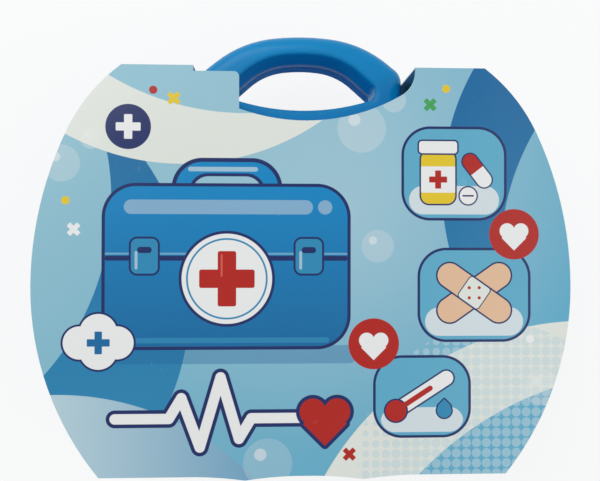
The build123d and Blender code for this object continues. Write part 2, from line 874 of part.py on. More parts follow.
# ---------------------------------------------------------------- scissors and clamp
def lever_half(side, tip, ring_y, width, ring, hole, thick):
    """Half of a scissor-like tool on the XY plane: tapered jaw, shank and finger ring."""
    ring_x = side * (ring + fit_gap)
    edge = side * width / 4
    back = -side * width * lever_boss
    jaw = make_face(Curve() + [
        Line((edge, 0), (edge, -tip)),
        ThreePointArc((edge, -tip), (back * lever_shank, -tip * lever_belly), (back, 0)),
        Line((back, 0), (edge, 0)),
    ])
    shank = slot_between((0, 0), (ring_x, ring_y), width * lever_shank)
    face = jaw + Circle(width * lever_boss) + shank + at(Circle(ring), ring_x, ring_y)
    face = face - at(Circle(hole), ring_x, ring_y) - Circle(rivet_radius + running_gap)
    return extrude(face, thick)


def rivet(low, high):
    """Shaft with a flat head at each end, on the Z axis."""
    shaft = slab(Circle(rivet_radius), low - rivet_cap, high + rivet_cap)
    heads = slab(Circle(rivet_head), low - rivet_cap, low - running_gap)
    heads += slab(Circle(rivet_head), high + running_gap, high + rivet_cap)
    return shaft + heads


def scissors_place():
    """Pivot of the scissors, in the middle of the left dish, and the height of the lower half."""
    y = dish_shift - (scissors_ring_y + scissors_ring - scissors_tip) / 2
    return -dish_x, y, seat(dish_deep) + dish_wall + fit_gap + rivet_cap


def scissors_half(side):
    x, y, z = scissors_place()
    half = lever_half(side, scissors_tip, scissors_ring_y, scissors_width, scissors_ring, scissors_hole,
                      scissors_thick)
    layer = 0 if side > 0 else scissors_thick + fit_gap
    return Pos(x, y, z + layer) * Rot(0, 0, -side * scissors_open / 2) * half


def scissors_rivet():
    x, y, z = scissors_place()
    return at(rivet(0, 2 * scissors_thick + fit_gap), x, y, z)


def clamp_place():
    """Pivot of the clamp, so that its right ring hangs on the right peg."""
    ring = Vector(clamp_ring + fit_gap, clamp_ring_y).rotate(Axis.Z, -clamp_open / 2)
    tall = 2 * clamp_thick + fit_gap
    return peg_apart - ring.X, rail_y - ring.Y, hang_z - rail_thick - fit_gap - tall


def clamp_half(side):
    x, y, z = clamp_place()
    half = lever_half(side, clamp_tip, clamp_ring_y, clamp_width, clamp_ring, clamp_hole, clamp_thick)
    layer = clamp_thick + fit_gap if side > 0 else 0
    return Pos(x, y, z + layer) * Rot(0, 0, -side * clamp_open / 2) * half


def clamp_rivet():
    x, y, z = clamp_place()
    return at(rivet(0, 2 * clamp_thick + fit_gap), x, y, z)


# ---------------------------------------------------------------- pieces fixed in the lid
def backdrop_card():
    """Printed picture card on the lid's inner face."""
    face = case_outline(edge_round + wall)
    return slab(face, backdrop_z, backdrop_z + backdrop_thick)


def hook_rail():
    """Rail with a round arch in its middle and a headed peg near each end."""
    face = at(SlotOverall(2 * rail_half, rail_wide), y=rail_y)
    lower = at(Rectangle(2 * arch_radius, arch_radius), y=rail_y - arch_radius / 2)
    face += (at(Circle(arch_radius), y=rail_y) - at(Circle(arch_hole), y=rail_y)) & lower
    body = slab(face, hang_z - rail_thick, hang_z)
    body = fillet(body.faces().sort_by(Axis.Z)[0].edges(), rail_thick / 4)
    end = hang_z - rail_thick - peg_length
    for x in (-peg_apart, peg_apart):
        body += rod(peg_radius, (x, rail_y, hang_z - rail_thick / 2), (x, rail_y, end))
        body += rod(peg_head, (x, rail_y, end), (x, rail_y, end - peg_cap))
    return body


def storage_shelf():
    """Shelf with round front corners, a rim along its front and a plate against the picture card."""
    front = hang_z - shelf_deep
    plan = Rectangle(2 * shelf_half, shelf_deep)
    plan = fillet(plan.vertices().sort_by(Axis.Y)[:2], shelf_corner)
    plan = at(plan, y=hang_z - shelf_deep / 2)
    rim = plan - (offset(plan, -shelf_thick) + at(Rectangle(2 * shelf_half, shelf_deep), y=hang_z))
    upright = Plane.XZ.offset(-shelf_y)
    board = extrude(upright * plan, shelf_thick)
    lip = extrude(upright * rim, -shelf_lip)
    back = bar((-shelf_half, shelf_y - shelf_back, hang_z - shelf_thick), (shelf_half, shelf_y, hang_z))
    return board + lip + back


def medicine_box():
    """Closed carton that stands on the shelf."""
    low = shelf_y + fit_gap
    return bar((box_x - box_wide / 2, low, hang_z - fit_gap - box_deep),
               (box_x + box_wide / 2, low + box_tall, hang_z - fit_gap))


def bag_low():
    """Height of the bag's face that looks away from the picture card."""
    return hang_z - rail_thick - fit_gap - bag_thick


def bag_middle():
    return -peg_apart, rail_y - bag_neck - bag_tall / 2


def drip_bag():
    """Flat pouch with a neck that hangs on the left peg and two ports below."""
    x, y = bag_middle()
    face = rounded(bag_wide, bag_tall, bag_corner, x, y)
    face += rounded(2 * bag_neck, 3 * bag_neck, bag_neck_corner, x, rail_y - bag_neck / 2)
    for side in (-1, 1):
        face += rounded(2 * bag_port, 3 * bag_port, bag_port / 2, x + side * 2 * bag_port, y - bag_tall / 2)
    body = slab(face, bag_low(), bag_low() + bag_thick)
    ends = body.faces().filter_by(Axis.Z)
    body = fillet(ends.edges(), bag_thick / 4)
    return body - slab(at(Circle(peg_radius + fit_gap), x, rail_y), bag_low() - 1, bag_low() + bag_thick + 1)


def drip_label():
    x, y = bag_middle()
    return slab(rounded(label_wide, label_tall, label_corner, x, y), bag_low() - label_thick, bag_low())


# ---------------------------------------------------------------- all nodes
def all_nodes():
    """Every node's name and its solid."""
    sides = {"left": -1, "right": 1}
    nodes = {
        "card_back": card_back(),
        "card_bottom": card_bottom(),
        "card_front": card_front(),
        "base_shell": base_shell(),
        "lid_shell": lid_shell(),
        "inner_tray": inner_tray(),
        "syringe_barrel": syringe_barrel(),
        "syringe_plunger": syringe_plunger(),
        "thermometer_body": thermometer_body(),
        "thermometer_window": thermometer_window(),
        "monitor_case": monitor_case(),
        "monitor_screen": monitor_screen(),
        "stethoscope_yoke": stethoscope_yoke(),
        "chest_tube": chest_tube(),
        "chest_piece": chest_piece(),
        "tweezers": tweezers(),
        "scissors_lower": scissors_half(1),
        "scissors_upper": scissors_half(-1),
        "scissors_rivet": scissors_rivet(),
        "backdrop_card": backdrop_card(),
        "hook_rail": hook_rail(),
        "storage_shelf": storage_shelf(),
        "medicine_box": medicine_box(),
        "drip_bag": drip_bag(),
        "drip_label": drip_label(),
        "clamp_fixed": clamp_half(1),
        "clamp_moving": clamp_half(-1),
        "clamp_rivet": clamp_rivet(),
    }
    for name, side in sides.items():
        nodes["card_top_" + name] = card_top(side)
        nodes["hinge_pin_" + name] = hinge_pin(side * hinge_apart)
        nodes["latch_" + name] = latch(side)
        nodes["side_dish_" + name] = side_dish(side)
        nodes["ear_tube_" + name] = ear_tube(side)
        nodes["ear_tip_" + name] = ear_tip(side)
    for name, place in zip(sides, button_places()):
        nodes["monitor_button_" + name] = monitor_button(place)
    return nodes


if __name__ == "__main__":
    os.makedirs("parts", exist_ok=True)
    for node, shape in all_nodes().items():
        save(shape, node)
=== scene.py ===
"""Looks of a toy doctor case in its printed card wrap: finishes, artwork, small parts and studio."""

from __future__ import annotations

import logging
import math
from dataclasses import dataclass, field
from enum import Enum
from typing import Protocol, TypeAlias

import bmesh
import bpy
from mathutils import Matrix, Vector


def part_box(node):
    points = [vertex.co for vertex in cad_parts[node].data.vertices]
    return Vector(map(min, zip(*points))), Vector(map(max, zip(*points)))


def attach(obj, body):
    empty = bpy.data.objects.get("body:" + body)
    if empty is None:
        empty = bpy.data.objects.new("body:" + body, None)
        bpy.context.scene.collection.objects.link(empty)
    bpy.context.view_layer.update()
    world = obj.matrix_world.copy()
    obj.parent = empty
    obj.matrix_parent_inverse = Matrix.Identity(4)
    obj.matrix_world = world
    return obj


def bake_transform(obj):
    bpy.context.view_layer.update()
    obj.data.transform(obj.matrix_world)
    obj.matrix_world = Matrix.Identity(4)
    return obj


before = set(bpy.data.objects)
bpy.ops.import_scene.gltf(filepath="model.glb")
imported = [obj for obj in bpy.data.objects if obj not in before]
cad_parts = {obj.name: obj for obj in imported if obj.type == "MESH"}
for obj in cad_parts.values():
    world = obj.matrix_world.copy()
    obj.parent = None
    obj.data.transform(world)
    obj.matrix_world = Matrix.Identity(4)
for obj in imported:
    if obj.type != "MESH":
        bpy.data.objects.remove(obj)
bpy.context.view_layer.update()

log = logging.getLogger("doctor_case")

Colour: TypeAlias = tuple[float, float, float]
Point: TypeAlias = tuple[float, float]
Place: TypeAlias = tuple[float, float, float]
Paint: TypeAlias = "Value | Enum | Colour"
Feed: TypeAlias = "Value | Enum | bpy.types.NodeSocket | tuple[float, ...] | float"
Size: TypeAlias = "bpy.types.NodeSocket | tuple[float, ...] | float | int"


def ink(red: int, green: int, blue: int) -> Colour:
    """Turn a screen colour into a linear one.

    Args:
        red: Red share from 0 to 255.
        green: Green share from 0 to 255.
        blue: Blue share from 0 to 255.

    Returns:
        The three linear shares.
    """
    shares = [part / 255 for part in (red, green, blue)]
    return tuple(s / 12.92 if s < 0.04045 else ((s + 0.055) / 1.055) ** 2.4 for s in shares)


def scaled(colour: Colour, factor: float, rise: float = 0.0) -> Colour:
    """Make a colour lighter or darker, up to full white."""
    return tuple(min(1.0, part * factor + rise) for part in colour)


class Ink(Enum):
    """Colours of the wrap, the shells and the toys."""

    WHITE = ink(246, 247, 245)
    CREAM = ink(234, 239, 230)
    PALE = ink(196, 222, 230)
    LIGHT = ink(150, 200, 216)
    SKY = ink(98, 178, 208)
    MID = ink(44, 142, 188)
    DEEP = ink(6, 108, 164)
    SHELL = ink(0, 138, 200)
    NAVY = ink(14, 38, 100)
    RED = ink(184, 30, 20)
    ROSE = ink(222, 96, 84)
    YELLOW = ink(238, 206, 44)
    GREEN = ink(70, 168, 92)
    GREY = ink(150, 164, 172)
    SKIN = ink(236, 196, 160)
    LATCH = ink(10, 112, 172)
    BOARD_DARK = ink(206, 204, 197)
    BOARD_PALE = ink(231, 230, 225)


# ------------------------------------------------------------------ shader values
class Value:
    """A number in a node tree, with arithmetic that adds Math nodes."""

    def __init__(self, surface: "Surface", socket: bpy.types.NodeSocket) -> None:
        """Wrap one output socket of the surface's tree."""
        self.surface = surface
        self.socket = socket

    def _with(self, operation: str, *others: "Value | float") -> "Value":
        """Apply one Math operation to this value and the others."""
        return self.surface.maths(operation, self, *others)

    def __add__(self, other: "Value | float") -> "Value":
        """Sum."""
        return self._with("ADD", other)

    def __sub__(self, other: "Value | float") -> "Value":
        """Difference."""
        return self._with("SUBTRACT", other)

    def __rsub__(self, other: float) -> "Value":
        """Difference, number first."""
        return self.surface.maths("SUBTRACT", other, self)

    def __mul__(self, other: "Value | float") -> "Value":
        """Product."""
        return self._with("MULTIPLY", other)

    def __truediv__(self, other: "Value | float") -> "Value":
        """Quotient."""
        return self._with("DIVIDE", other)

    def __neg__(self) -> "Value":
        """The value with its sign changed."""
        return self._with("MULTIPLY", -1.0)

    def __or__(self, other: "Value | float") -> "Value":
        """Union of two outlines, which is the smaller distance."""
        return self._with("MINIMUM", other)

    def __and__(self, other: "Value | float") -> "Value":
        """Common part of two outlines, which is the larger distance."""
        return self._with("MAXIMUM", other)

    def size(self) -> "Value":
        """The value without its sign."""
        return self._with("ABSOLUTE")

    def root(self) -> "Value":
        """Square root."""
        return self._with("SQRT")

    def limited(self) -> "Value":
        """The value held between 0 and 1."""
        return self.surface.node("ShaderNodeClamp", {}, {"Value": self})

    def repeat(self, length: float) -> "Value":
        """The value folded into -length/2 to length/2, for a pattern that repeats."""
        return self._with("WRAP", length / 2, -length / 2)


class Surface:
    """One material whose nodes are added by methods."""

    def __init__(self, name: str) -> None:
        """Start a material of this name with a shader and object coordinates.

        Args:
            name: The finish's name.
        """
        self.material = bpy.data.materials.new(name)
        self.material.use_nodes = True
        self.tree = self.material.node_tree
        self.shader = self.tree.nodes["Principled BSDF"]
        self.place = self.tree.nodes.new("ShaderNodeTexCoord").outputs["Object"]

    def node(self, kind: str, settings: dict[str, object], inputs: dict[str | int, Feed],
             output: int | str = 0) -> Value:
        """Add one node.

        Args:
            kind: The node's type.
            settings: Properties of the node, and "stops" for a ramp.
            inputs: Values or links by socket name or number.
            output: The output socket wanted.

        Returns:
            That output as a value.
        """
        made = self.tree.nodes.new(kind)
        for name, value in settings.items():
            if name == "stops":
                ramp = made.color_ramp
                while len(ramp.elements) < len(value):
                    ramp.elements.new(0.5)
                for element, (where, colour) in zip(ramp.elements, value):
                    element.position, element.color = where, (*colour, 1)
            else:
                setattr(made, name, value)
        for name, value in inputs.items():
            self.feed(made.inputs[name], value)
        return Value(self, made.outputs[output])

    def feed(self, socket: bpy.types.NodeSocket, value: Feed) -> None:
        """Give a socket a link, a colour, a vector or a number.

        Args:
            socket: The input socket.
            value: What it takes.
        """
        if isinstance(value, Enum):
            value = value.value
        if isinstance(value, Value):
            self.tree.links.new(value.socket, socket)
        elif isinstance(value, bpy.types.NodeSocket):
            self.tree.links.new(value, socket)
        elif hasattr(value, "__len__") and socket.type == "RGBA" and len(value) == 3:
            socket.default_value = (*value, 1)
        else:
            socket.default_value = value

    def maths(self, operation: str, *values: Value | float) -> Value:
        """Add a Math node of this operation."""
        return self.node("ShaderNodeMath", {"operation": operation}, dict(enumerate(values)))

    def mix(self, share: Value | float, low: Paint, high: Paint) -> Value:
        """Mix two colours by a share from 0 to 1."""
        return self.node("ShaderNodeMix", {"data_type": "RGBA"}, {0: share, 6: low, 7: high}, 2)

    def noise(self, scale: float, detail: float = 2.0, rough: float = 0.5,
              place: bpy.types.NodeSocket | None = None) -> Value:
        """Add soft noise.

        Args:
            scale: Lumps for each metre.
            detail: Octaves.
            rough: Share of the finer octaves.
            place: Coordinates, or None for the object's own.

        Returns:
            The noise, from 0 to 1 about 0.5.
        """
        inputs = {"Vector": place or self.place, "Scale": scale, "Detail": detail, "Roughness": rough}
        return self.node("ShaderNodeTexNoise", {}, inputs)

    def stretched(self, scale: Place) -> bpy.types.NodeSocket:
        """Object coordinates scaled by axis."""
        return self.node("ShaderNodeMapping", {}, {"Vector": self.place, "Scale": scale}).socket

    def axes(self) -> tuple[Value, Value, Value]:
        """Split the object coordinates.

        Returns:
            X, Y and Z in millimetres.
        """
        made = self.tree.nodes.new("ShaderNodeSeparateXYZ")
        self.tree.links.new(self.place, made.inputs[0])
        return tuple(Value(self, out) * 1000.0 for out in made.outputs)

    def bump(self, height: Value, strength: float, distance: float, rounding: float = 0.0) -> None:
        """Raise the surface by a height.

        Args:
            height: The height, from 0 to 1.
            strength: How strongly it shades.
            distance: Metres between heights 0 and 1.
            rounding: Radius at which edges catch the light, in metres.
        """
        inputs = {"Height": height, "Strength": strength, "Distance": distance}
        if rounding:
            inputs["Normal"] = self.node("ShaderNodeBevel", {"samples": 6}, {"Radius": rounding})
        self.feed(self.shader.inputs["Normal"], self.node("ShaderNodeBump", {}, inputs))

    def set(self, **values: Feed) -> None:
        """Give the shader's sockets their values.

        Args:
            **values: Value by socket name, in lower case with underscores for spaces.
        """
        for name, value in values.items():
            key = name.replace("_", " ").title().replace("Ior", "IOR")
            self.feed(self.shader.inputs[key], value)


# ------------------------------------------------------------------ plain finishes
class Finish(Protocol):
    """What every finish offers."""

    name: str

    def make(self) -> bpy.types.Material:
        """Build the material."""


@dataclass(frozen=True)
class MattZone:
    """Part of a shell that is left matt, in millimetres: half along x, low to high along y, up to top."""

    half: float
    low: float
    high: float
    top: float

    def share(self, s: Surface) -> Value:
        """Mark the zone.

        Args:
            s: The shell's surface.

        Returns:
            1 inside the zone and 0 outside it.
        """
        across, along, up = s.axes()
        inside = (self.half - across.size()).limited() * (along - self.low).limited()
        return inside * (self.high - along).limited() * (self.top - up).limited()


@dataclass(frozen=True)
class MouldedPlastic:
    """Glossy moulded plastic with faint flow marks, handling marks and orange peel."""

    name: str
    colour: Colour
    rough: float = 0.22
    coat: float = 0.06
    glow: float = 0.0
    rounding: float = 0.0
    matt: MattZone | None = None
    gloss: float = 0.15
    matt_rise: float = 0.5
    flow_scale: float = 14.0
    mark_scale: float = 60.0
    grain_scale: float = 420.0
    grain_depth: float = 0.0002
    shade: float = 0.86
    tint: float = 1.08
    scuff: float = 0.05
    scuff_share: float = 0.35
    mark_rise: float = 0.16

    def make(self) -> bpy.types.Material:
        """Build the material.

        Returns:
            The material.
        """
        s = Surface(self.name)
        flow = s.noise(self.flow_scale, 3.0, place=s.stretched((1.0, 2.2, 1.0)))
        fine = s.noise(self.grain_scale, 3.0)
        marks = s.noise(self.mark_scale, 6.0, 0.7)
        colour = s.mix(flow, scaled(self.colour, self.shade), scaled(self.colour, self.tint, 0.004))
        scuffs = (marks - 0.56).limited() * self.scuff_share
        colour = s.mix(scuffs, colour, scaled(self.colour, 1.0, self.scuff))
        rough, coat = (marks - 0.5) * self.mark_rise + self.rough, self.coat
        if self.matt:
            inside = self.matt.share(s)
            rough, coat = rough + inside * self.matt_rise, (1.0 - inside) * self.coat
        s.set(base_color=colour, roughness=rough, coat_weight=coat, coat_roughness=0.06,
              specular_ior_level=self.gloss)
        if self.glow:
            s.set(subsurface_weight=self.glow, subsurface_radius=(0.6, 0.7, 0.8), subsurface_scale=0.002)
        s.bump(fine * 0.6 + flow * 0.4, 0.05, self.grain_depth, self.rounding)
        return s.material


@dataclass(frozen=True)
class ClearPlastic:
    """Clear, faintly milky moulded plastic."""

    name: str
    colour: Colour
    cover: float = 0.36
    through: float = 0.15
    coat: float = 0.3
    rough: float = 0.04
    haze_scale: float = 90.0
    haze_rise: float = 0.12

    def make(self) -> bpy.types.Material:
        """Build the material.

        Returns:
            The material.
        """
        s = Surface(self.name)
        haze = s.noise(self.haze_scale, 4.0)
        s.set(base_color=s.mix(haze, self.colour, Ink.WHITE), roughness=haze * self.haze_rise + self.rough,
              transmission_weight=self.through, ior=1.45, coat_weight=self.coat, alpha=self.cover)
        s.bump(haze, 0.04, 0.0003)
        return s.material


@dataclass(frozen=True)
class SoftRubber:
    """Soft rubber with a fine matt grain."""

    name: str
    colour: Colour
    rough: float = 0.5
    grain_scale: float = 900.0
    dust_scale: float = 80.0
    grain_depth: float = 0.0002

    def make(self) -> bpy.types.Material:
        """Build the material.

        Returns:
            The material.
        """
        s = Surface(self.name)
        grain = s.noise(self.grain_scale, 4.0, 0.7)
        dust = s.noise(self.dust_scale, 5.0, 0.6)
        colour = s.mix(dust * 0.5, self.colour, scaled(self.colour, 1.15, 0.03))
        s.set(base_color=colour, roughness=grain * 0.2 + self.rough, sheen_weight=0.15)
        s.bump(grain, 0.12, self.grain_depth)
        return s.material


@dataclass(frozen=True)
class DrawnSteel:
    """Pin of drawn steel wire."""

    name: str
    line_scale: float = 30.0
    stretch: float = 90.0
    rough: float = 0.2

    def make(self) -> bpy.types.Material:
        """Build the material.

        Returns:
            The material.
        """
        s = Surface(self.name)
        lines = s.noise(self.line_scale, 6.0, 0.8, s.stretched((1.0, self.stretch, self.stretch)))
        s.set(base_color=s.mix(lines, ink(168, 170, 174), ink(208, 210, 212)), metallic=1.0,
              roughness=lines * 0.2 + self.rough)
        s.bump(lines, 0.1, 0.0001)
        return s.material


# ------------------------------------------------------------------ printed artwork
@dataclass(frozen=True)
class PrintWear:
    """Unevenness of coated print: waves of the sheet with painted shade in their troughs, its fibres and
    worn specks.
    """

    wave_scale: float = 9.0
    wave_depth: float = 0.0012
    fibre_scale: float = 700.0
    speck_scale: float = 55.0
    speck_level: float = 0.66
    speck_share: float = 0.25
    wave_shade_darkest: float = 0.93


class Artwork:
    """Flat printed shapes on one surface, drawn by distance in millimetres."""

    def __init__(self, surface: Surface, axes: str = "xy", soft: float = 0.22) -> None:
        """Start a drawing.

        Args:
            surface: The surface that it is printed on.
            axes: The two axes that the drawing's own x and y follow.
            soft: Width of an ink's edge.
        """
        self.s = surface
        self.soft = soft
        parts = dict(zip("xyz", surface.axes()))
        self.x, self.y = parts[axes[0]], parts[axes[1]]
        self.z = parts[next(a for a in "xyz" if a not in axes)]
        self.flat = self.joined()
        self.colour: Value | Enum = Ink.WHITE

    def joined(self) -> Value:
        """The drawing's x and y as one vector."""
        return self.s.node("ShaderNodeCombineXYZ", {}, {0: self.x, 1: self.y})

    def place(self, x: float, y: float, quarters: int) -> None:
        """Move the drawing's middle.

        Args:
            x: Where the middle goes.
            y: Where the middle goes.
            quarters: Quarter turns against the clock.
        """
        self.x, self.y = self.x - x, self.y - y
        for _ in range(quarters):
            self.x, self.y = self.y, -self.x
        self.flat = self.joined()

    def vector(self, operation: str, first: Feed, second: Feed, output: int = 0) -> Value:
        """Add a Vector Math node."""
        return self.s.node("ShaderNodeVectorMath", {"operation": operation}, {0: first, 1: second}, output)

    def paint(self, outline: Value, colour: Paint, share: float = 1.0) -> None:
        """Fill an outline.

        Args:
            outline: Distance to the outline, negative inside.
            colour: An ink, or a colour that changes over the surface.
            share: How much the ink covers.
        """
        mask = (0.5 - outline / self.soft).limited()
        if share < 1:
            mask = mask * share
        self.colour = self.s.mix(mask, self.colour, colour)

    def rimmed(self, outline: Value, colour: Paint, rim: Paint, width: float) -> None:
        """Fill an outline and draw a rim of this width about it."""
        self.paint(outline - width, rim)
        self.paint(outline, colour)

    def disc(self, x: float, y: float, radius: float) -> Value:
        """Round outline."""
        return self.vector("DISTANCE", self.flat, (x, y, 0), 1) - radius

    def ring(self, x: float, y: float, radius: float, width: float) -> Value:
        """Round line."""
        return self.disc(x, y, radius).size() - width / 2

    def edge(self, x: float, y: float, turn: float) -> Value:
        """Half plane through a point, whose outside lies towards the turn in degrees."""
        out = (math.cos(math.radians(turn)), math.sin(math.radians(turn)), 0)
        return self.vector("DOT_PRODUCT", self.flat, out, 1) - (x * out[0] + y * out[1])

    def block(self, x: float, y: float, wide: float, tall: float, corner: float = 1.0,
              turn: float = 0.0) -> Value:
        """Rectangle with round corners.

        Args:
            x: Middle.
            y: Middle.
            wide: Whole width.
            tall: Whole height.
            corner: Corner radius.
            turn: Degrees against the clock.

        Returns:
            The distance to its outline.
        """
        cos, sin = math.cos(math.radians(turn)), math.sin(math.radians(turn))
        if turn:
            local = self.vector("SUBTRACT", self.flat, (x, y, 0))
            along = self.vector("DOT_PRODUCT", local, (cos, sin, 0), 1)
            across = self.vector("DOT_PRODUCT", local, (-sin, cos, 0), 1)
        else:
            along, across = self.x - x, self.y - y
        over_x = (along.size() - (wide / 2 - corner)) & 0.0
        over_y = (across.size() - (tall / 2 - corner)) & 0.0
        return (over_x * over_x + over_y * over_y).root() - corner

    def stroke(self, start: Point, end: Point, width: float) -> Value:
        """Round-ended line.

        Args:
            start: Its first point.
            end: Its last point.
            width: Its width.

        Returns:
            The distance to its outline.
        """
        run = (end[0] - start[0], end[1] - start[1])
        square = run[0] ** 2 + run[1] ** 2
        local = self.vector("SUBTRACT", self.flat, (*start, 0))
        share = (self.vector("DOT_PRODUCT", local, (run[0] / square, run[1] / square, 0), 1)).limited()
        foot = self.s.node("ShaderNodeVectorMath", {"operation": "SCALE"}, {0: (*run, 0), "Scale": share})
        return self.vector("DISTANCE", local, foot, 1) - width / 2

    def line(self, points: list[Point], width: float) -> Value:
        """Line through several points.

        Args:
            points: The points, in order.
            width: Its width.

        Returns:
            The distance to its outline.
        """
        shape = self.stroke(points[0], points[1], width)
        for start, end in zip(points[1:], points[2:]):
            shape = shape | self.stroke(start, end, width)
        return shape

    def cross(self, x: float, y: float, size: float, width: float, turn: float = 0.0) -> Value:
        """Upright cross with arms of equal length."""
        corner = width * 0.12
        return self.block(x, y, size, width, corner, turn) | self.block(x, y, width, size, corner, turn)

    def digit(self, number: int, x: float, y: float, wide: float, tall: float,
              thick: float) -> Value:
        """Digit of seven bars, as on a display.

        Args:
            number: From 0 to 9.
            x: Middle.
            y: Middle.
            wide: Width between the upright bars.
            tall: Height between the outer level bars.
            thick: Width of a bar.

        Returns:
            The distance to its outline.
        """
        w, h, gap = wide / 2, tall / 2, thick * 0.65
        level = {"a": h, "g": 0.0, "d": -h}
        upright = {"f": (-w, h, 0.0), "b": (w, h, 0.0), "e": (-w, 0.0, -h), "c": (w, 0.0, -h)}
        bars = ("abcdef", "bc", "abdeg", "abcdg", "bcfg", "acdfg", "acdefg", "abc", "abcdefg",
                "abcdfg")[number]
        shape: Value | None = None
        for bar in bars:
            if bar in level:
                ends = ((x - w + gap, y + level[bar]), (x + w - gap, y + level[bar]))
            else:
                along, high, low = upright[bar]
                ends = ((x + along, y + high - gap), (x + along, y + low + gap))
            stroke = self.stroke(*ends, thick)
            shape = stroke if shape is None else shape | stroke
        return shape

    def heart(self, x: float, y: float, size: float) -> Value:
        """Heart, made of two round lobes and a square on its corner.

        Args:
            x: Middle.
            y: Middle.
            size: About its width.

        Returns:
            The distance to its outline.
        """
        lobe, lift = size * 0.27, size * 0.12
        apart = lobe * 0.92
        lobes = self.disc(x - apart, y + lift, lobe) | self.disc(x + apart, y + lift, lobe)
        side = apart * math.sqrt(2) + lobe * 1.04
        point = self.block(x, y + lift - apart, side, side, 0.4, 45)
        wedge = point & self.edge(x, y + lift, 90)
        return lobes | wedge

    def finish(self, rough: float = 0.24, coat: float = 0.15) -> bpy.types.Material:
        """Dress the drawing as coated print on card or plastic.

        Args:
            rough: Roughness of the ink.
            coat: Weight of the clear coat over it.

        Returns:
            The material.
        """
        s, wear = self.s, PrintWear()
        fibre = s.noise(wear.fibre_scale, 4.0, 0.7)
        sheet = s.noise(wear.wave_scale, 3.0)
        worn = s.noise(wear.speck_scale, 7.0, 0.75)
        # painted shade: the print is darkened by up to 7% where the sheet's waves are low, following the
        # noise that bumps them
        painted_wave_shade = s.mix(sheet, (wear.wave_shade_darkest,) * 3, (1.0, 1.0, 1.0))
        shade = s.node("ShaderNodeMix", {"data_type": "RGBA", "blend_type": "MULTIPLY"},
                       {0: 1.0, 6: self.colour, 7: painted_wave_shade}, 2)
        specks = ((worn - wear.speck_level) * 6.0).limited() * wear.speck_share
        s.set(base_color=s.mix(specks, shade, Ink.WHITE), roughness=(worn - 0.5) * 0.12 + rough,
              coat_weight=coat, coat_roughness=0.12, specular_ior_level=0.22)
        s.bump(sheet * 0.8 + fibre * 0.06, 0.25, wear.wave_depth)
        return s.material


def printed(depth: Value) -> Value:
    """Share of print, by millimetres outwards from the printed face."""
    return ((depth + 0.3) * 20.0).limited()


def bare_board(s: Surface) -> Value:
    """Colour of the wrap's unprinted board."""
    return s.mix(s.noise(500.0, 5.0, 0.7), Ink.BOARD_DARK, Ink.BOARD_PALE)


class Print(Enum):
    """The wrap's two large printed panels."""

    FRONT = "front"
    BACK = "back"


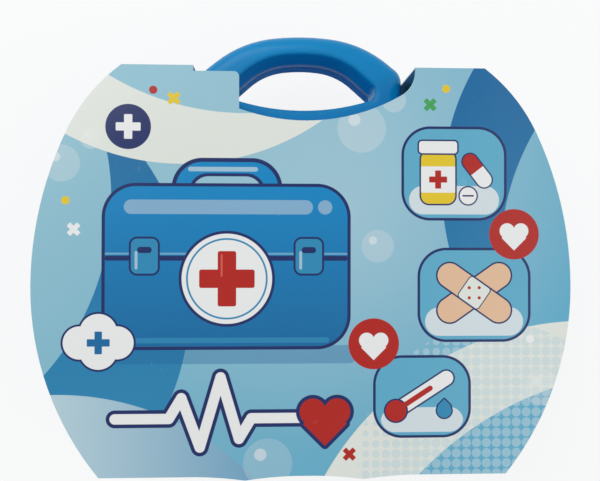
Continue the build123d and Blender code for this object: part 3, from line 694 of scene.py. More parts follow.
@dataclass(frozen=True)
class WrapPrint:
    """The wrap's printed artwork: soft fields of blue and cream with doctor's motifs."""

    name: str
    face: Print
    level: float

    def make(self) -> bpy.types.Material:
        """Build the material.

        Returns:
            The material.
        """
        s = Surface(self.name)
        art = Artwork(s)
        self.fields(art)
        if self.face is Print.FRONT:
            self.case_picture(art)
            self.frames(art)
            self.badges(art)
            self.heartbeat(art)
        outward = art.z - self.level if self.face is Print.FRONT else self.level - art.z
        art.colour = s.mix(printed(outward), bare_board(s), art.colour)
        return art.finish()

    def fields(self, art: Artwork) -> None:
        """Large curved fields of colour, with bubbles and a band of dots, on a ground with painted light:
        lighter towards the top left and about a point above the middle.

        Args:
            art: The drawing.
        """
        s = art.s
        # painted light: the ground is lighter towards the top left, the side the key lamp lights from
        art.colour = s.mix(((art.x - art.y) / 300.0 + 0.5).limited(), Ink.LIGHT, Ink.SKY)
        # painted pool of light: the print is paled towards a point above the middle, fading out over 120 mm
        glow = (art.disc(20, 30, 0) / -120.0 + 1.0).limited()
        art.colour = s.mix(glow * 0.5, art.colour, Ink.PALE)
        deep = s.mix(((art.y + 100) / 190.0).limited(), Ink.MID, Ink.DEEP)
        art.paint(art.disc(-178, -16, 122) & -art.disc(-222, 34, 128), deep)
        art.paint(art.disc(-60, 170, 118) & -art.disc(-30, 205, 128), Ink.CREAM)
        art.paint(art.disc(190, 40, 122) & -art.disc(225, 5, 128), deep)
        art.paint(art.disc(140, -175, 150) & -art.disc(175, -215, 165), Ink.CREAM)
        art.paint(art.disc(-120, -190, 130), s.mix(((art.x + 130) / 150.0).limited(), Ink.PALE, Ink.MID))
        art.paint(art.disc(175, 150, 84) & -art.disc(196, 176, 84), Ink.CREAM)
        dots = Artwork(s)
        dots.x, dots.y = art.x.repeat(5.0), art.y.repeat(5.0)
        grown = ((art.x + art.y * -0.6 - 40) / 60.0).limited() * 2.3
        spot = (dots.x * dots.x + dots.y * dots.y).root() - grown
        art.paint(spot & art.disc(96, -96, 70), Ink.PALE, 0.5)
        bubbles = ((-118, 52, 9, 0.2), (-104, 64, 5, 0.25), (28, 70, 12, 0.22), (44, 84, 6, 0.25),
                   (118, -58, 9, 0.2), (-18, -94, 12, 0.16), (36, 12, 8, 0.2))
        for x, y, radius, share in bubbles:
            art.paint(art.disc(x, y, radius), Ink.WHITE, share)
            art.paint(art.disc(x - radius * 0.3, y + radius * 0.35, radius * 0.25), Ink.WHITE, 0.5)

    def case_picture(self, art: Artwork) -> None:
        """Large picture of a blue case with two latches and a cross on a round badge.

        Args:
            art: The drawing.
        """
        x, y = -38.0, 2.0
        s = art.s
        art.paint(art.block(x + 3, y - 43, 122, 9, 4.5), Ink.DEEP, 0.45)
        art.paint(art.block(x, y + 36, 54, 34, 15) & -art.block(x, y + 34, 34, 20, 8), Ink.NAVY)
        art.paint(art.block(x, y + 36, 50, 30, 13) & -art.block(x, y + 34, 37, 23, 9), Ink.SHELL)
        art.paint(art.block(x - 2, y + 47.5, 34, 2.2, 1.1), Ink.PALE, 0.7)
        body = s.mix(((art.y - y + 40) / 80.0).limited(), Ink.DEEP, Ink.SHELL)
        art.rimmed(art.block(x, y, 118, 78, 15), body, Ink.NAVY, 1.6)
        art.paint(art.block(x, y - 36, 100, 2.6, 1.3), Ink.MID, 0.8)
        art.paint(art.block(x, y + 4, 118, 2.4, 0.8), Ink.NAVY)
        art.paint(art.block(x, y + 6.2, 118, 0.9, 0.4), Ink.LIGHT, 0.6)
        art.paint(art.block(x - 4, y + 29, 92, 7, 3.5), Ink.PALE, 0.45)
        art.paint(art.disc(x + 48, y + 29, 3.5), Ink.PALE, 0.45)
        for side in (-1, 1):
            art.rimmed(art.block(x + side * 40, y + 5, 13, 17, 3), Ink.MID, Ink.NAVY, 1.0)
            art.paint(art.block(x + side * 40, y + 8, 7, 3, 1.4), Ink.NAVY)
            art.paint(art.block(x + side * 40 - 4, y + 3, 1.4, 9, 0.7), Ink.PALE, 0.7)
        art.rimmed(art.disc(x, y - 6, 22), Ink.WHITE, Ink.NAVY, 1.4)
        art.paint(art.ring(x, y - 6, 19.4, 0.9), Ink.MID)
        art.paint(art.cross(x, y - 6, 27, 9), Ink.RED)
        art.paint(art.block(x - 2.6, y + 0.5, 0.9, 11, 0.4), Ink.ROSE)

    def frames(self, art: Artwork) -> None:
        """Three framed pictures: medicine, plasters and a thermometer.

        Args:
            art: The drawing.
        """
        for x, y, wide, tall in ((74, 48, 50, 44), (84, -12, 54, 44), (58, -62, 46, 38)):
            art.rimmed(art.block(x, y, wide, tall, 13), Ink.SKY, Ink.NAVY, 1.3)
            art.paint(art.block(x, y - tall * 0.3, wide - 5, tall * 0.32, 7), Ink.WHITE, 0.75)
        self.capsules(art, 74, 48)
        self.plasters(art, 84, -12)
        self.thermometer(art, 58, -62)

    @staticmethod
    def capsules(art: Artwork, x: float, y: float) -> None:
        """Bottle, a two-colour capsule and a tablet.

        Args:
            art: The drawing.
            x: Middle.
            y: Middle.
        """
        art.rimmed(art.block(x - 8, y - 2, 17, 26, 4), Ink.YELLOW, Ink.NAVY, 0.8)
        art.rimmed(art.block(x - 8, y + 13, 19, 6, 1.5), Ink.WHITE, Ink.NAVY, 0.8)
        art.paint(art.block(x - 8, y - 3, 17, 13, 0.5), Ink.WHITE)
        art.paint(art.cross(x - 8, y - 3, 9, 3), Ink.RED)
        pill = art.stroke((x + 8, y + 6), (x + 15, y - 3), 7.5)
        art.rimmed(pill, Ink.RED, Ink.NAVY, 0.7)
        art.paint(pill & art.edge(x + 11.5, y + 1.5, 128), Ink.WHITE)
        art.rimmed(art.disc(x + 7, y - 11, 4.2), Ink.WHITE, Ink.NAVY, 0.7)
        art.paint(art.stroke((x + 4.5, y - 11), (x + 9.5, y - 11), 0.8), Ink.NAVY)

    @staticmethod
    def plasters(art: Artwork, x: float, y: float) -> None:
        """Two crossed sticking plasters.

        Args:
            art: The drawing.
            x: Middle.
            y: Middle.
        """
        for turn in (35, -35):
            art.rimmed(art.block(x, y + 1, 42, 12, 6, turn), Ink.SKIN, Ink.NAVY, 0.8)
        art.rimmed(art.block(x, y + 1, 12, 12, 1.5, -35), Ink.CREAM, Ink.NAVY, 0.5)
        for along, across in ((-2.5, -2.5), (2.5, -2.5), (-2.5, 2.5), (2.5, 2.5)):
            art.paint(art.disc(x + along, y + 1 + across, 0.8), Ink.RED)

    @staticmethod
    def thermometer(art: Artwork, x: float, y: float) -> None:
        """Glass thermometer beside a drop.

        Args:
            art: The drawing.
            x: Middle.
            y: Middle.
        """
        art.rimmed(art.stroke((x - 13, y - 7), (x + 12, y + 9), 7.0), Ink.WHITE, Ink.NAVY, 0.8)
        art.rimmed(art.disc(x - 13, y - 7, 5.2), Ink.RED, Ink.NAVY, 0.8)
        art.paint(art.stroke((x - 13, y - 7), (x + 4, y + 4), 2.6), Ink.RED)
        drop = art.disc(x + 11, y - 7, 3.6) | art.block(x + 11, y - 4.6, 4.6, 4.6, 0.3, 45)
        art.rimmed(drop, Ink.MID, Ink.NAVY, 0.7)

    @staticmethod
    def badges(art: Artwork) -> None:
        """Round badges, a cloud and scattered crosses and dots.

        Args:
            art: The drawing.
        """
        art.paint(art.disc(-86, 70, 11), Ink.NAVY)
        art.paint(art.cross(-86, 70, 12, 4), Ink.WHITE)
        for x, y in ((104, 18), (34, -36)):
            art.paint(art.disc(x, y, 12.5), Ink.RED)
            art.paint(art.heart(x, y, 14), Ink.WHITE)
        cloud = art.disc(-100, -30, 9) | art.disc(-109, -35, 8)
        cloud = cloud | art.disc(-91, -35, 8) | art.disc(-100, -39, 9)
        art.rimmed(cloud, Ink.WHITE, Ink.NAVY, 1.0)
        art.paint(art.cross(-100, -35, 11, 3.6), Ink.DEEP)
        crosses = ((-64, 84, Ink.YELLOW), (62, 82, Ink.GREEN), (-112, 20, Ink.WHITE), (22, -90, Ink.RED))
        for x, y, tint in crosses:
            art.paint(art.cross(x, y, 7, 2.4, 45), tint)
        dots = ((-74, 88, Ink.RED), (70, 90, Ink.YELLOW), (-116, 34, Ink.YELLOW), (112, -34, Ink.WHITE))
        for x, y, tint in dots:
            art.paint(art.disc(x, y, 2.0), tint)

    @staticmethod
    def heartbeat(art: Artwork) -> None:
        """White heartbeat line with a navy rim and a heart at its end.

        Args:
            art: The drawing.
        """
        points = [(-92, -72), (-66, -72), (-60, -62), (-51, -86), (-41, -52), (-32, -82), (-26, -72),
                  (0, -72)]
        art.rimmed(art.line(points, 5.0), Ink.WHITE, Ink.NAVY, 1.8)
        art.rimmed(art.heart(10, -72, 24), Ink.RED, Ink.NAVY, 1.8)


@dataclass(frozen=True)
class FlapPrint:
    """Plain printed flap of the wrap, with bare board inside."""

    name: str
    outer: float
    outward: int

    def make(self) -> bpy.types.Material:
        """Build the material.

        Returns:
            The material.
        """
        s = Surface(self.name)
        art = Artwork(s, "xz")
        art.colour = s.mix((art.x / 220.0 + 0.5).limited(), Ink.LIGHT, Ink.SKY)
        art.paint(art.disc(-60, 10, 46), Ink.MID)
        art.paint(art.disc(64, 86, 52) & -art.disc(80, 100, 52), Ink.CREAM)
        outward = (art.z - self.outer) * self.outward
        art.colour = s.mix(printed(outward), bare_board(s), art.colour)
        return art.finish()


@dataclass(frozen=True)
class LidPicture:
    """Picture card in the lid: pale wall with crosses and a blue border."""

    name: str

    def make(self) -> bpy.types.Material:
        """Build the material.

        Returns:
            The material.
        """
        s = Surface(self.name)
        art = Artwork(s)
        art.colour = s.mix((art.y / 200.0 + 0.5).limited(), Ink.DEEP, Ink.SHELL)
        wall = s.mix(((art.y + 80) / 150.0).limited(), Ink.CREAM, Ink.LIGHT)
        art.paint(art.block(0, -6, 214, 140, 22), wall)
        tile = Artwork(s)
        tile.x, tile.y = art.x.repeat(26.0), art.y.repeat(26.0)
        art.paint(tile.cross(0, 0, 9, 3) & art.block(0, -6, 206, 132, 18), Ink.WHITE, 0.8)
        art.paint(art.disc(0, 56, 20), Ink.WHITE)
        art.paint(art.cross(0, 46.5, 11, 3.6), Ink.RED)
        art.rimmed(art.block(40, 0, 74, 34, 10), Ink.WHITE, Ink.NAVY, 1.2)
        beat = art.line([(10, 0), (26, 0), (31, 9), (38, -11), (45, 5), (50, 0), (70, 0)], 2.2)
        art.paint(beat, Ink.RED)
        art.paint(art.block(0, -64, 214, 26, 10), Ink.MID, 0.8)
        return art.finish(0.32, 0.3)


@dataclass(frozen=True)
class CartonPrint:
    """Medicine carton: white with a blue head and red crosses."""

    name: str
    x: float
    y: float

    def make(self) -> bpy.types.Material:
        """Build the material.

        Returns:
            The material.
        """
        s = Surface(self.name)
        art = Artwork(s)
        art.colour = s.mix(s.noise(30.0), Ink.CREAM, Ink.WHITE)
        art.paint(-art.edge(0, self.y + 9, 90), Ink.MID)
        art.paint(art.block(self.x, self.y + 15, 26, 5, 1), Ink.WHITE)
        for dx, dy in ((-8, -2), (7, 1), (-3, -12), (9, -11)):
            art.paint(art.cross(self.x + dx, self.y + dy, 7, 2.4), Ink.RED)
        return art.finish(0.35, 0.2)


@dataclass(frozen=True)
class BagLabelPrint:
    """Label of the drip bag: a red panel with a cross and plain lines."""

    name: str
    x: float
    y: float

    def make(self) -> bpy.types.Material:
        """Build the material.

        Returns:
            The material.
        """
        s = Surface(self.name)
        art = Artwork(s)
        art.colour = s.mix(s.noise(60.0), Ink.CREAM, Ink.WHITE)
        art.paint(art.block(self.x, self.y + 4, 20, 14, 1.2), Ink.RED)
        art.paint(art.cross(self.x, self.y + 4, 9, 3), Ink.WHITE)
        for row in (-7.0, -9.6):
            art.paint(art.block(self.x, self.y + row, 18, 0.9, 0.3), Ink.GREY)
        return art.finish(0.5, 0.1)


@dataclass(frozen=True)
class DisplayPrint:
    """Lit display behind a clear window: digits of seven bars on a pale ground, with a painted highlight
    streak across the window's top.
    """

    name: str
    x: float
    y: float
    digits: tuple[int, ...]

    def make(self) -> bpy.types.Material:
        """Build the material.

        Returns:
            The material.
        """
        s = Surface(self.name)
        art = Artwork(s)
        art.place(self.x, self.y, 1)
        art.colour = s.mix((art.y / 12.0 + 0.5).limited(), ink(86, 112, 158), ink(132, 158, 190))
        art.paint(-art.block(0, 0, 23.5, 9.5, 1.6), ink(30, 40, 84))
        count = len(self.digits)
        for place, number in enumerate(self.digits):
            left = (place - (count - 1) / 2) * 6.2
            art.paint(art.digit(number, left, 0.0, 3.4, 5.6, 0.85), Ink.NAVY)
        art.paint(art.disc(3.1, -3.0, 0.6), Ink.NAVY)
        # painted highlight: a half-white streak across the top of the window stands for its reflection
        art.paint(art.block(-1.5, 3.9, 18, 0.5, 0.2), Ink.WHITE, 0.5)
        return art.finish(0.1, 0.8)


@dataclass(frozen=True)
class ScreenPrint:
    """Monitor's screen: a heartbeat over a grid, with a rate beside it."""

    name: str
    x: float
    y: float

    def make(self) -> bpy.types.Material:
        """Build the material.

        Returns:
            The material.
        """
        s = Surface(self.name)
        art = Artwork(s)
        art.place(self.x, self.y, 2)
        art.colour = s.mix((art.y / 28.0 + 0.5).limited(), ink(8, 58, 132), ink(20, 108, 178))
        lines = (art.x.repeat(4.0).size() | art.y.repeat(4.0).size()) - 0.12
        art.paint(lines, Ink.SKY, 0.5)
        art.paint(-art.block(0, 0, 45, 25, 2.5), ink(8, 30, 84))
        beat = [(-21, -1), (-14, -1), (-12, 3), (-9.5, -6), (-7, 8), (-4.5, -4), (-3, -1), (4, -1)]
        art.paint(art.line(beat, 1.1), ink(150, 240, 190))
        art.paint(art.disc(4, -1, 1.3), Ink.WHITE)
        for number, left in ((7, 10.2), (2, 17.2)):
            art.paint(art.digit(number, left, -2.0, 3.8, 7.4, 1.1), Ink.WHITE)
        art.paint(art.heart(10.2, 7.2, 5.0), ink(238, 84, 72))
        for column in range(3):
            bar = art.block(14.6 + column * 2.4, 6.0 + column * 0.5, 1.4, 1.8 + column, 0.2)
            art.paint(bar, Ink.PALE)
        return art.finish(0.08, 0.9)


@dataclass(frozen=True)
class FoldedBoard:
    """Crease of the wrap, paler where the print has cracked to the bare board; the paleness is also a
    painted highlight along the fold.
    """

    name: str
    crack_scale: float = 260.0
    crack_level: float = 0.46
    crack_depth: float = 0.0002
    rough: float = 0.4

    def make(self) -> bpy.types.Material:
        """Build the material.

        Returns:
            The material.
        """
        s = Surface(self.name)
        cracks = s.noise(self.crack_scale, 6.0, 0.8, s.stretched((3.0, 1.0, 1.0)))
        share = ((cracks - self.crack_level) * 7.0).limited()
        # partly real crease cracking, partly painted highlight: the fold is paled towards white board in a
        # crack pattern
        s.set(base_color=s.mix(share, Ink.LIGHT, ink(226, 232, 230)), roughness=cracks * 0.3 + self.rough)
        s.bump(cracks, 0.3, self.crack_depth)
        return s.material


# ------------------------------------------------------------------ pieces
class Tree:
    """Geometry Nodes tree that is built in code and makes one piece."""

    def __init__(self, name: str) -> None:
        """Start a tree with no inputs.

        Args:
            name: The tree's name, which its piece takes.
        """
        self.group = bpy.data.node_groups.new(name, "GeometryNodeTree")
        self.group.interface.new_socket("Geometry", in_out="OUTPUT", socket_type="NodeSocketGeometry")
        self.source = self.group.nodes.new("NodeGroupInput")
        self.sizes: dict[str, Size] = {}

    def size(self, name: str, value: Size) -> bpy.types.NodeSocket:
        """Add a named input.

        Args:
            name: The size's name.
            value: What the piece gives it.

        Returns:
            The socket that hands it to the nodes.
        """
        kind = "Vector" if isinstance(value, tuple) else "Int" if isinstance(value, int) else "Float"
        self.group.interface.new_socket(name, in_out="INPUT", socket_type=f"NodeSocket{kind}")
        self.sizes[name] = value
        return self.source.outputs[name]

    def node(self, kind: str, inputs: dict[str | int, object], settings: dict[str, object] | None = None,
             output: int | str = 0) -> bpy.types.NodeSocket:
        """Add one node and return one of its output sockets.

        Args:
            kind: The node's type without its prefix.
            inputs: Values or links by socket name or number.
            settings: Properties of the node.
            output: The output wanted.

        Returns:
            The output socket.
        """
        made = self.group.nodes.new(kind if kind.startswith("Shader") else f"GeometryNode{kind}")
        for name, value in (settings or {}).items():
            setattr(made, name, value)
        for name, value in inputs.items():
            if isinstance(value, bpy.types.NodeSocket):
                self.group.links.new(value, made.inputs[name])
            elif isinstance(value, list):
                for link in value:
                    self.group.links.new(link, made.inputs[name])
            else:
                made.inputs[name].default_value = value
        return made.outputs[output]

    def maths(self, operation: str, *values: Size) -> bpy.types.NodeSocket:
        """Add a Math node of this operation."""
        return self.node("ShaderNodeMath", dict(enumerate(values)), {"operation": operation})

    def vector(self, x: Size = 0.0, y: Size = 0.0, z: Size = 0.0) -> bpy.types.NodeSocket:
        """Join three numbers or sockets."""
        return self.node("ShaderNodeCombineXYZ", {0: x, 1: y, 2: z})

    def rod(self, length: Size, radius: Size, sides: int = 10) -> bpy.types.NodeSocket:
        """Rod along X about the origin, with closed ends.

        Args:
            length: Its length.
            radius: Its radius.
            sides: Faces round it.

        Returns:
            The rod's mesh.
        """
        half, back = self.maths("MULTIPLY", length, 0.5), self.maths("MULTIPLY", length, -0.5)
        line = self.node("CurvePrimitiveLine", {"Start": self.vector(back), "End": self.vector(half)})
        ring = self.node("CurvePrimitiveCircle", {"Resolution": sides, "Radius": radius})
        return self.node("CurveToMesh", {"Curve": line, "Profile Curve": ring, "Fill Caps": True})

    def piece(self, shape: bpy.types.NodeSocket, material: bpy.types.Material, body: str,
              slot: str) -> bpy.types.Object:
        """End the tree, turn its result into a plain mesh and let it ride.

        Args:
            shape: The last geometry socket.
            material: The piece's finish.
            body: The body that it rides on.
            slot: The record's material slot; not used.

        Returns:
            The piece.
        """
        real = self.node("RealizeInstances", {"Geometry": shape})
        dressed = self.node("SetMaterial", {"Geometry": real, "Material": material})
        end = self.group.nodes.new("NodeGroupOutput")
        self.group.links.new(dressed, end.inputs[0])
        name = self.group.name
        maker = bpy.data.objects.new(f"{name}_maker", bpy.data.meshes.new(name))
        bpy.context.scene.collection.objects.link(maker)
        modifier = maker.modifiers.new("Geometry", "NODES")
        modifier.node_group = self.group
        for item in self.group.interface.items_tree:
            if item.in_out == "INPUT":
                modifier[item.identifier] = self.sizes[item.name]
        ready = maker.evaluated_get(bpy.context.evaluated_depsgraph_get())
        mesh = bpy.data.meshes.new_from_object(ready)
        maker.modifiers.remove(modifier)
        bpy.data.objects.remove(maker)
        made = add_piece(name, mesh, material, body)
        log.info("%s: %d faces from nodes, on %s", name, len(mesh.polygons), body)
        return made


def add_piece(name: str, mesh: bpy.types.Mesh, material: bpy.types.Material, body: str) -> bpy.types.Object:
    """Put a mesh in the scene as a piece with a finish.

    Args:
        name: The piece's name.
        mesh: Its mesh, in place.
        material: Its finish.
        body: The body that it rides on, or none yet.

    Returns:
        The piece.
    """
    mesh.name = name
    mesh.materials.clear()
    mesh.materials.append(material)
    made = bpy.data.objects.new(name, mesh)
    bpy.context.scene.collection.objects.link(made)
    if body:
        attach(made, body)
    return made


@dataclass
class SyringeScale:
    """Raised scale lines round the front of the clear barrel, in metres, with their sweeps in degrees."""

    middle: Place = (0.055, -0.020, 0.0401)
    radius: float = 0.00952
    pitch: float = 0.004
    count: int = 13
    every: int = 4
    line_radius: float = 0.0003
    short: float = 36.0
    long: float = 72.0
    steps: int = 12
    sides: int = 6

    def build(self, finish: bpy.types.Material) -> None:
        """Make the lines on the base's barrel.

        Args:
            finish: The pieces' finish.
        """
        tree = Tree("syringe_scale")
        count, pitch = tree.size("Lines", self.count), tree.size("Pitch", self.pitch)
        every, radius = tree.size("Long line every", self.every), tree.size("Barrel radius", self.radius)
        thick = tree.size("Line radius", self.line_radius)
        short = tree.size("Short sweep", math.radians(self.short))
        long = tree.size("Long sweep", math.radians(self.long))
        start = tree.size("First line", self.middle)
        step = tree.vector(0.0, tree.maths("MULTIPLY", pitch, -1.0))
        points = tree.node("MeshLine", {"Count": count, "Start Location": start, "Offset": step})
        shapes = [self.arc(tree, radius, sweep, thick) for sweep in (short, long)]
        rest = tree.maths("MODULO", tree.node("InputIndex", {}), every)
        is_long = tree.maths("LESS_THAN", rest, 0.5)
        both = tree.node("GeometryToInstance", {"Geometry": shapes})
        lines = tree.node("InstanceOnPoints", {"Points": points, "Instance": both, "Pick Instance": True,
                                               "Instance Index": is_long})
        tree.piece(lines, finish, "base", "clear_barrel")

    def arc(self, tree: Tree, radius: Size, sweep: Size, thick: Size) -> bpy.types.NodeSocket:
        """Thin arc about Y whose middle lies on top.

        Args:
            tree: The tree that makes it.
            radius: Radius of the arc.
            sweep: Its angle.
            thick: Radius of its line.

        Returns:
            The arc's mesh.
        """
        begin = tree.maths("MULTIPLY_ADD", sweep, -0.5, math.pi / 2)
        arc = tree.node("CurveArc", {"Resolution": self.steps, "Radius": radius, "Start Angle": begin,
                                     "Sweep Angle": sweep})
        ring = tree.node("CurvePrimitiveCircle", {"Resolution": self.sides, "Radius": thick})
        mesh = tree.node("CurveToMesh", {"Curve": arc, "Profile Curve": ring, "Fill Caps": True})
        return tree.node("Transform", {"Geometry": mesh, "Rotation": (math.pi / 2, 0.0, 0.0)})


@dataclass
class LatchRibs:
    """Raised grip ribs on the outer face of each latch, in metres."""

    apart: float = 0.073
    face: float = 0.09825
    low: float = 0.0424
    pitch: float = 0.002
    count: int = 3
    rib_length: float = 0.0145
    rib_radius: float = 0.00045
    lip: float = 0.0565
    lip_length: float = 0.011

    def build(self, finish: bpy.types.Material) -> None:
        """Make both latches' ribs.

        Args:
            finish: The pieces' finish.
        """
        for side, name in ((-1, "left"), (1, "right")):
            tree = Tree(f"latch_ribs_{name}")
            count, pitch = tree.size("Ribs", self.count), tree.size("Pitch", self.pitch)
            long = tree.size("Rib length", self.rib_length)
            radius = tree.size("Rib radius", self.rib_radius)
            start = tree.size("First rib", (side * self.apart, self.face, self.low))
            lip = tree.size("Lip", (side * self.apart, self.face, self.lip))
            short = tree.size("Lip length", self.lip_length)
            line = tree.node("MeshLine", {"Count": count, "Start Location": start,
                                          "Offset": tree.vector(0.0, 0.0, pitch)})
            ribs = tree.node("InstanceOnPoints", {"Points": line, "Instance": tree.rod(long, radius)})
            edge = tree.node("Transform", {"Geometry": tree.rod(short, radius), "Translation": lip})
            both = tree.node("JoinGeometry", {"Geometry": [ribs, edge]})
            tree.piece(both, finish, f"latch_{name}", "blue_latch")


@dataclass
class SpeakerHoles:
    """Round sound holes in the monitor's top, drawn as thin discs in a dark colour that is painted shade
    for the holes' depth, in metres.
    """

    middle: Place = (-0.037, -0.0155, 0.04922)
    wide: float = 0.024
    tall: float = 0.008
    columns: int = 7
    rows: int = 3
    radius: float = 0.0009
    sunk: float = 0.0001
    sides: int = 14

    def build(self, finish: bpy.types.Material) -> None:
        """Make the holes on the base's monitor.

        Args:
            finish: The pieces' finish.
        """
        tree = Tree("monitor_sound_holes")
        wide, tall = tree.size("Width", self.wide), tree.size("Height", self.tall)
        columns, rows = tree.size("Columns", self.columns), tree.size("Rows", self.rows)
        radius, middle = tree.size("Hole radius", self.radius), tree.size("Middle", self.middle)
        grid = tree.node("MeshGrid", {"Size X": wide, "Size Y": tall, "Vertices X": columns,
                                      "Vertices Y": rows})
        hole = tree.node("MeshCylinder", {"Vertices": self.sides, "Side Segments": 1, "Fill Segments": 1,
                                          "Radius": radius, "Depth": self.sunk})
        holes = tree.node("InstanceOnPoints", {"Points": grid, "Instance": hole})
        placed = tree.node("Transform", {"Geometry": holes, "Translation": middle})
        tree.piece(placed, finish, "base", "white_case")


@dataclass
class ChestGrip:
    """Upright grip ribs all round the head of the stethoscope, in metres."""

    middle: Place = (0.050, 0.050, 0.0446)
    radius: float = 0.01294
    rib_length: float = 0.0052
    rib_radius: float = 0.00042
    rib_sides: int = 8
    count: int = 40

    def build(self, finish: bpy.types.Material) -> None:
        """Make the ribs on the base's stethoscope.

        Args:
            finish: The pieces' finish.
        """
        tree = Tree("chest_piece_grip")
        count, radius = tree.size("Ribs", self.count), tree.size("Radius", self.radius)
        long, thick = tree.size("Rib length", self.rib_length), tree.size("Rib radius", self.rib_radius)
        middle = tree.size("Middle", self.middle)
        ring = tree.node("MeshCircle", {"Vertices": count, "Radius": radius})
        upright = tree.node("Transform", {"Geometry": tree.rod(long, thick, self.rib_sides),
                                          "Rotation": (0.0, math.pi / 2, 0.0)})
        ribs = tree.node("InstanceOnPoints", {"Points": ring, "Instance": upright})
        placed = tree.node("Transform", {"Geometry": ribs, "Translation": middle})
        tree.piece(placed, finish, "base", "red_rubber")


@dataclass
class WrapCreases:
    """Creases that fill the folds between the wrap's panels, in metres."""

    half_bottom: float = 0.0995
    fold: float = 0.10035
    thick: float = 0.0006
    proud: float = 0.00012
    gap_low: Point = (0.0006, 0.0009)
    gap_high: Point = (0.0931, 0.0934)
    flap: Point = (0.0548, 0.0892)
    steps: int = 6

    def build(self, finish: bpy.types.Material) -> None:
        """Make the four creases.

        Args:
            finish: The pieces' finish.
        """
        bottom, front = (-self.half_bottom, self.half_bottom), "card_front"
        self.strip("crease_back", bottom, -1, self.gap_low, ("base", "card_bottom"), finish)
        self.strip("crease_front", bottom, -1, self.gap_high, ("card_bottom", front), finish)
        for side, name in ((-1, "left"), (1, "right")):
            ends = tuple(sorted(side * x for x in self.flap))
            self.strip(f"crease_top_{name}", ends, 1, self.gap_low, ("base", f"card_top_{name}"), finish)

    def strip(self, name: str, ends: Point, side: int, gap: Point, bodies: tuple[str, str],
              finish: bpy.types.Material) -> None:
        """Make one crease.

        Args:
            name: The piece's name.
            ends: Its lowest and highest x.
            side: Which fold it lies on, along y.
            gap: The two panels' edges, along z.
            bodies: The bodies of those panels.
            finish: Its finish.
        """
        made = bmesh.new()
        outline = self.outline(side, gap)
        rings = [[made.verts.new((x, *corner)) for corner in outline] for x in ends]
        count = len(rings[0])
        for i in range(count):
            made.faces.new((rings[0][i], rings[0][(i + 1) % count], rings[1][(i + 1) % count], rings[1][i]))
        made.faces.new(rings[0])
        made.faces.new(list(reversed(rings[1])))
        bmesh.ops.recalc_face_normals(made, faces=made.faces)
        mesh = bpy.data.meshes.new(name)
        made.to_mesh(mesh)
        made.free()
        piece = add_piece(name, mesh, finish, "")
        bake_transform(piece)
        log.info("%s: crease between %s and %s", name, *bodies)

    def outline(self, side: int, gap: Point) -> list[Point]:
        """Outline of a crease, bowed outwards on both faces.

        Args:
            side: Which fold it lies on, along y.
            gap: The two panels' edges, along z.

        Returns:
            Its points in y and z, once round.
        """
        shares = [step / self.steps for step in range(self.steps + 1)]
        points = []
        for layer, bow, order in ((0.0, self.proud, shares), (self.thick, -self.proud, shares[::-1])):
            for share in order:
                y = side * (self.fold - layer + bow * math.sin(math.pi * share))
                points.append((y, gap[0] + (gap[1] - gap[0]) * share))
        return points


@dataclass
class SmallParts:
    """Small raised and sunk details of the shells and the toys."""

    scale: SyringeScale = field(default_factory=SyringeScale)
    ribs: LatchRibs = field(default_factory=LatchRibs)
    holes: SpeakerHoles = field(default_factory=SpeakerHoles)
    grip: ChestGrip = field(default_factory=ChestGrip)
    creases: WrapCreases = field(default_factory=WrapCreases)

    def build(self) -> None:
        """Make every small piece in order."""
        self.scale.build(MouldedPlastic("scale_ink", Ink.NAVY.value, rough=0.4, coat=0.0).make())
        self.ribs.build(MouldedPlastic("latch_rib_gloss", Ink.LATCH.value, rough=0.28).make())
        # painted shade: the sound holes are thin dark discs whose colour stands for the shade inside real
        # holes
        self.holes.build(SoftRubber("sound_hole_painted_shade", ink(38, 46, 58)).make())
        self.grip.build(MouldedPlastic("chest_grip_red", Ink.RED.value, rough=0.3).make())
        self.creases.build(FoldedBoard("wrap_crease_board_and_highlight").make())


# ------------------------------------------------------------------ dressing the solids
def middle(node: str) -> Point:
    """Middle of a solid seen from above, in millimetres."""
    low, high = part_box(node)
    return (low[0] + high[0]) * 500, (low[1] + high[1]) * 500


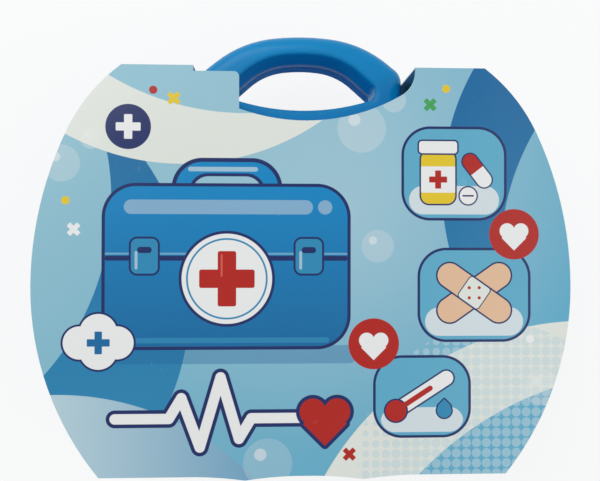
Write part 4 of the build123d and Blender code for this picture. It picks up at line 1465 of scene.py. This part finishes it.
@dataclass
class Wardrobe:
    """The finish of every solid, with the wrap's printed planes in millimetres."""

    wrap_deep: float = 94.0
    wrap_fold: float = 100.35

    def finishes(self) -> dict[str, Finish]:
        """Choose the finishes.

        Returns:
            Each solid's node with its finish.
        """
        shells = {half: MouldedPlastic(f"blue_{half}_gloss", Ink.SHELL.value, rounding=0.004,
                                       matt=MattZone(half=40.0, low=82.0, high=112.0, top=top))
                  for half, top in (("lid", 52.0), ("base", 60.0))}
        latch = MouldedPlastic("blue_latch_gloss", Ink.LATCH.value, rough=0.28)
        white = MouldedPlastic("white_tray_plastic", ink(232, 236, 238), rough=0.3, coat=0.2, glow=0.1)
        red = MouldedPlastic("red_gloss_plastic", Ink.RED.value)
        tool = MouldedPlastic("blue_tool_plastic", ink(16, 118, 180), rough=0.26)
        tube = MouldedPlastic("white_tube_plastic", ink(230, 236, 238), rough=0.28, coat=0.2, glow=0.1)
        yellow = MouldedPlastic("yellow_tool_plastic", Ink.YELLOW.value, rough=0.24)
        bag = MouldedPlastic("bag_film", ink(226, 228, 226), rough=0.18, coat=0.5, glow=0.2)
        table = {
            "card_back": WrapPrint("wrap_back_print", Print.BACK, 0.0),
            "card_front": WrapPrint("wrap_front_print", Print.FRONT, self.wrap_deep),
            "card_bottom": FlapPrint("wrap_bottom_print", -self.wrap_fold, -1),
            "base_shell": shells["base"], "lid_shell": shells["lid"],
            "inner_tray": white, "side_dish_left": red, "side_dish_right": red,
            "syringe_barrel": ClearPlastic("clear_barrel_plastic", ink(216, 232, 242)),
            "syringe_plunger": white, "thermometer_body": yellow,
            "thermometer_window": DisplayPrint("display_print", *middle("thermometer_window"), (3, 6, 6)),
            "monitor_case": white, "monitor_screen": ScreenPrint("screen_print", *middle("monitor_screen")),
            "monitor_button_left": MouldedPlastic("red_button_gloss", Ink.RED.value, rough=0.2),
            "monitor_button_right": MouldedPlastic("green_button_gloss", Ink.GREEN.value, rough=0.2),
            "stethoscope_yoke": tool, "chest_tube": tube, "chest_piece": red,
            "ear_tube_left": tube, "ear_tube_right": tube,
            "tweezers": tool, "scissors_lower": tool, "scissors_upper": tool,
            "scissors_rivet": white, "clamp_rivet": white,
            "backdrop_card": LidPicture("lid_picture_print"),
            "hook_rail": red, "storage_shelf": red,
            "medicine_box": CartonPrint("carton_print", *middle("medicine_box")),
            "drip_bag": bag,
            "drip_label": BagLabelPrint("bag_label_print", *middle("drip_label")),
            "clamp_fixed": yellow, "clamp_moving": yellow,
        }
        for side in ("left", "right"):
            table[f"card_top_{side}"] = FlapPrint("wrap_top_print", self.wrap_fold, 1)
            table[f"hinge_pin_{side}"] = DrawnSteel("hinge_pin_steel")
            table[f"latch_{side}"] = latch
            table[f"ear_tip_{side}"] = SoftRubber("red_ear_rubber", Ink.RED.value)
        return table

    def dress(self) -> None:
        """Give every solid its finish."""
        made: dict[Finish, bpy.types.Material] = {}
        table = self.finishes()
        for node, finish in table.items():
            if finish not in made:
                made[finish] = finish.make()
            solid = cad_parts[node]
            solid.data.materials.clear()
            solid.data.materials.append(made[finish])
            log.info("dressed %s as %s", node, finish.name)
        left = sorted(set(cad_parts) - set(table))
        if left:
            log.warning("solids with no finish: %s", left)


# ------------------------------------------------------------------ studio
@dataclass
class Studio:
    """Pale floor, soft light and the camera.

    Places are in metres, the lens and its sensor in millimetres and the camera's turn in degrees.
    """

    floor_half: float = 3.0
    floor_low: float = -0.0002
    floor_colour: Colour = (0.86, 0.87, 0.88)
    floor_rough: float = 0.7
    floor_glow: float = 0.84
    light_tint: Colour = (0.95, 0.97, 1.0)
    seen_tint: Colour = (1.0, 1.0, 1.0)
    light_strength: float = 0.42
    seen_strength: float = 0.96
    aim: Place = (0.0, 0.0, 0.05)
    lens: float = 44.2
    sensor: float = 36.0
    nearest: float = 0.01
    camera_place: Place = (-0.01815, 0.01142, 0.45474)
    camera_turn: Place = (0.524, -2.508, 0.078)

    def build(self) -> None:
        """Make the floor, the lamps, the world and the camera."""
        self.floor()
        self.world()
        self.lamp("key_panel", (-0.55, 0.75, 1.25), size=1.1, power=10.5)
        self.lamp("fill_panel", (0.9, -0.1, 1.1), size=1.2, power=4.0)
        self.camera()

    @staticmethod
    def seen(tree: bpy.types.NodeTree) -> bpy.types.NodeSocket:
        """Tell what the camera sees from the light that falls on the pieces.

        Args:
            tree: The tree of the floor's material or of the world.

        Returns:
            1 for rays seen straight, in a gloss or through clear plastic, and 0 for the rest.
        """
        path = tree.nodes.new("ShaderNodeLightPath")
        total = path.outputs["Is Camera Ray"]
        for ray in ("Is Transmission Ray", "Is Glossy Ray"):
            add = tree.nodes.new("ShaderNodeMath")
            add.operation, add.use_clamp = "ADD", True
            tree.links.new(total, add.inputs[0])
            tree.links.new(path.outputs[ray], add.inputs[1])
            total = add.outputs[0]
        return total

    def floor(self) -> None:
        """Plain pale floor under the wrap's back panel."""
        half = self.floor_half
        corners = [(-half, -half, 0), (half, -half, 0), (half, half, 0), (-half, half, 0)]
        mesh = bpy.data.meshes.new("floor")
        mesh.from_pydata(corners, [], [(0, 1, 2, 3)])
        floor = bpy.data.objects.new("floor", mesh)
        floor.location.z = self.floor_low
        bpy.context.scene.collection.objects.link(floor)
        s = Surface("pale_floor")
        s.set(base_color=self.floor_colour, roughness=self.floor_rough)
        glow = s.node("ShaderNodeEmission", {}, {"Color": (1.0, 1.0, 1.0), "Strength": 1.0})
        share = Value(s, self.seen(s.tree)) * self.floor_glow
        mixed = s.node("ShaderNodeMixShader", {}, {0: share, 1: s.shader.outputs[0], 2: glow})
        s.feed(s.tree.nodes["Material Output"].inputs[0], mixed)
        mesh.materials.append(s.material)

    def world(self) -> None:
        """Even light from all round, white where the camera sees it."""
        world = bpy.data.worlds.new("studio")
        bpy.context.scene.world = world
        world.use_nodes = True
        tree = world.node_tree
        background = tree.nodes["Background"]
        tint = tree.nodes.new("ShaderNodeMix")
        tint.data_type = "RGBA"
        tint.inputs[6].default_value = (*self.light_tint, 1)
        tint.inputs[7].default_value = (*self.seen_tint, 1)
        mix = tree.nodes.new("ShaderNodeMix")
        mix.inputs[2].default_value = self.light_strength
        mix.inputs[3].default_value = self.seen_strength
        seen = self.seen(tree)
        tree.links.new(seen, tint.inputs[0])
        tree.links.new(seen, mix.inputs[0])
        tree.links.new(tint.outputs[2], background.inputs[0])
        tree.links.new(mix.outputs[0], background.inputs[1])

    def lamp(self, name: str, place: Place, size: float, power: float) -> None:
        """Square panel of soft light that faces the case.

        Args:
            name: The lamp's name.
            place: Where it hangs, in metres.
            size: Its side.
            power: Watts.
        """
        light = bpy.data.lights.new(name, "AREA")
        light.size, light.energy = size, power
        lamp = bpy.data.objects.new(name, light)
        lamp.location = place
        lamp.rotation_euler = (Vector(self.aim) - Vector(place)).to_track_quat("-Z", "Y").to_euler()
        bpy.context.scene.collection.objects.link(lamp)

    def camera(self) -> None:
        """Camera nearly square on to the wrap's front, a little to the left."""
        data = bpy.data.cameras.new("camera")
        data.lens, data.sensor_width, data.sensor_fit = self.lens, self.sensor, "HORIZONTAL"
        data.clip_start = self.nearest
        camera = bpy.data.objects.new("camera", data)
        pitch, yaw, roll = (math.radians(a) for a in self.camera_turn)
        turn = Matrix.Rotation(yaw, 4, "Y") @ Matrix.Rotation(pitch, 4, "X")
        turn = turn @ Matrix.Rotation(roll, 4, "Z")
        camera.matrix_world = Matrix.Translation(self.camera_place) @ turn
        bpy.context.scene.collection.objects.link(camera)
        bpy.context.scene.camera = camera


def main() -> None:
    """Build the scene in order and report each step."""
    logging.basicConfig(level=logging.INFO, format="%(name)s: %(message)s")
    bpy.context.scene.view_settings.view_transform = "Standard"
    Wardrobe().dress()
    SmallParts().build()
    Studio().build()
    log.info("pieces ready")


if __name__ == "__main__":
    main()
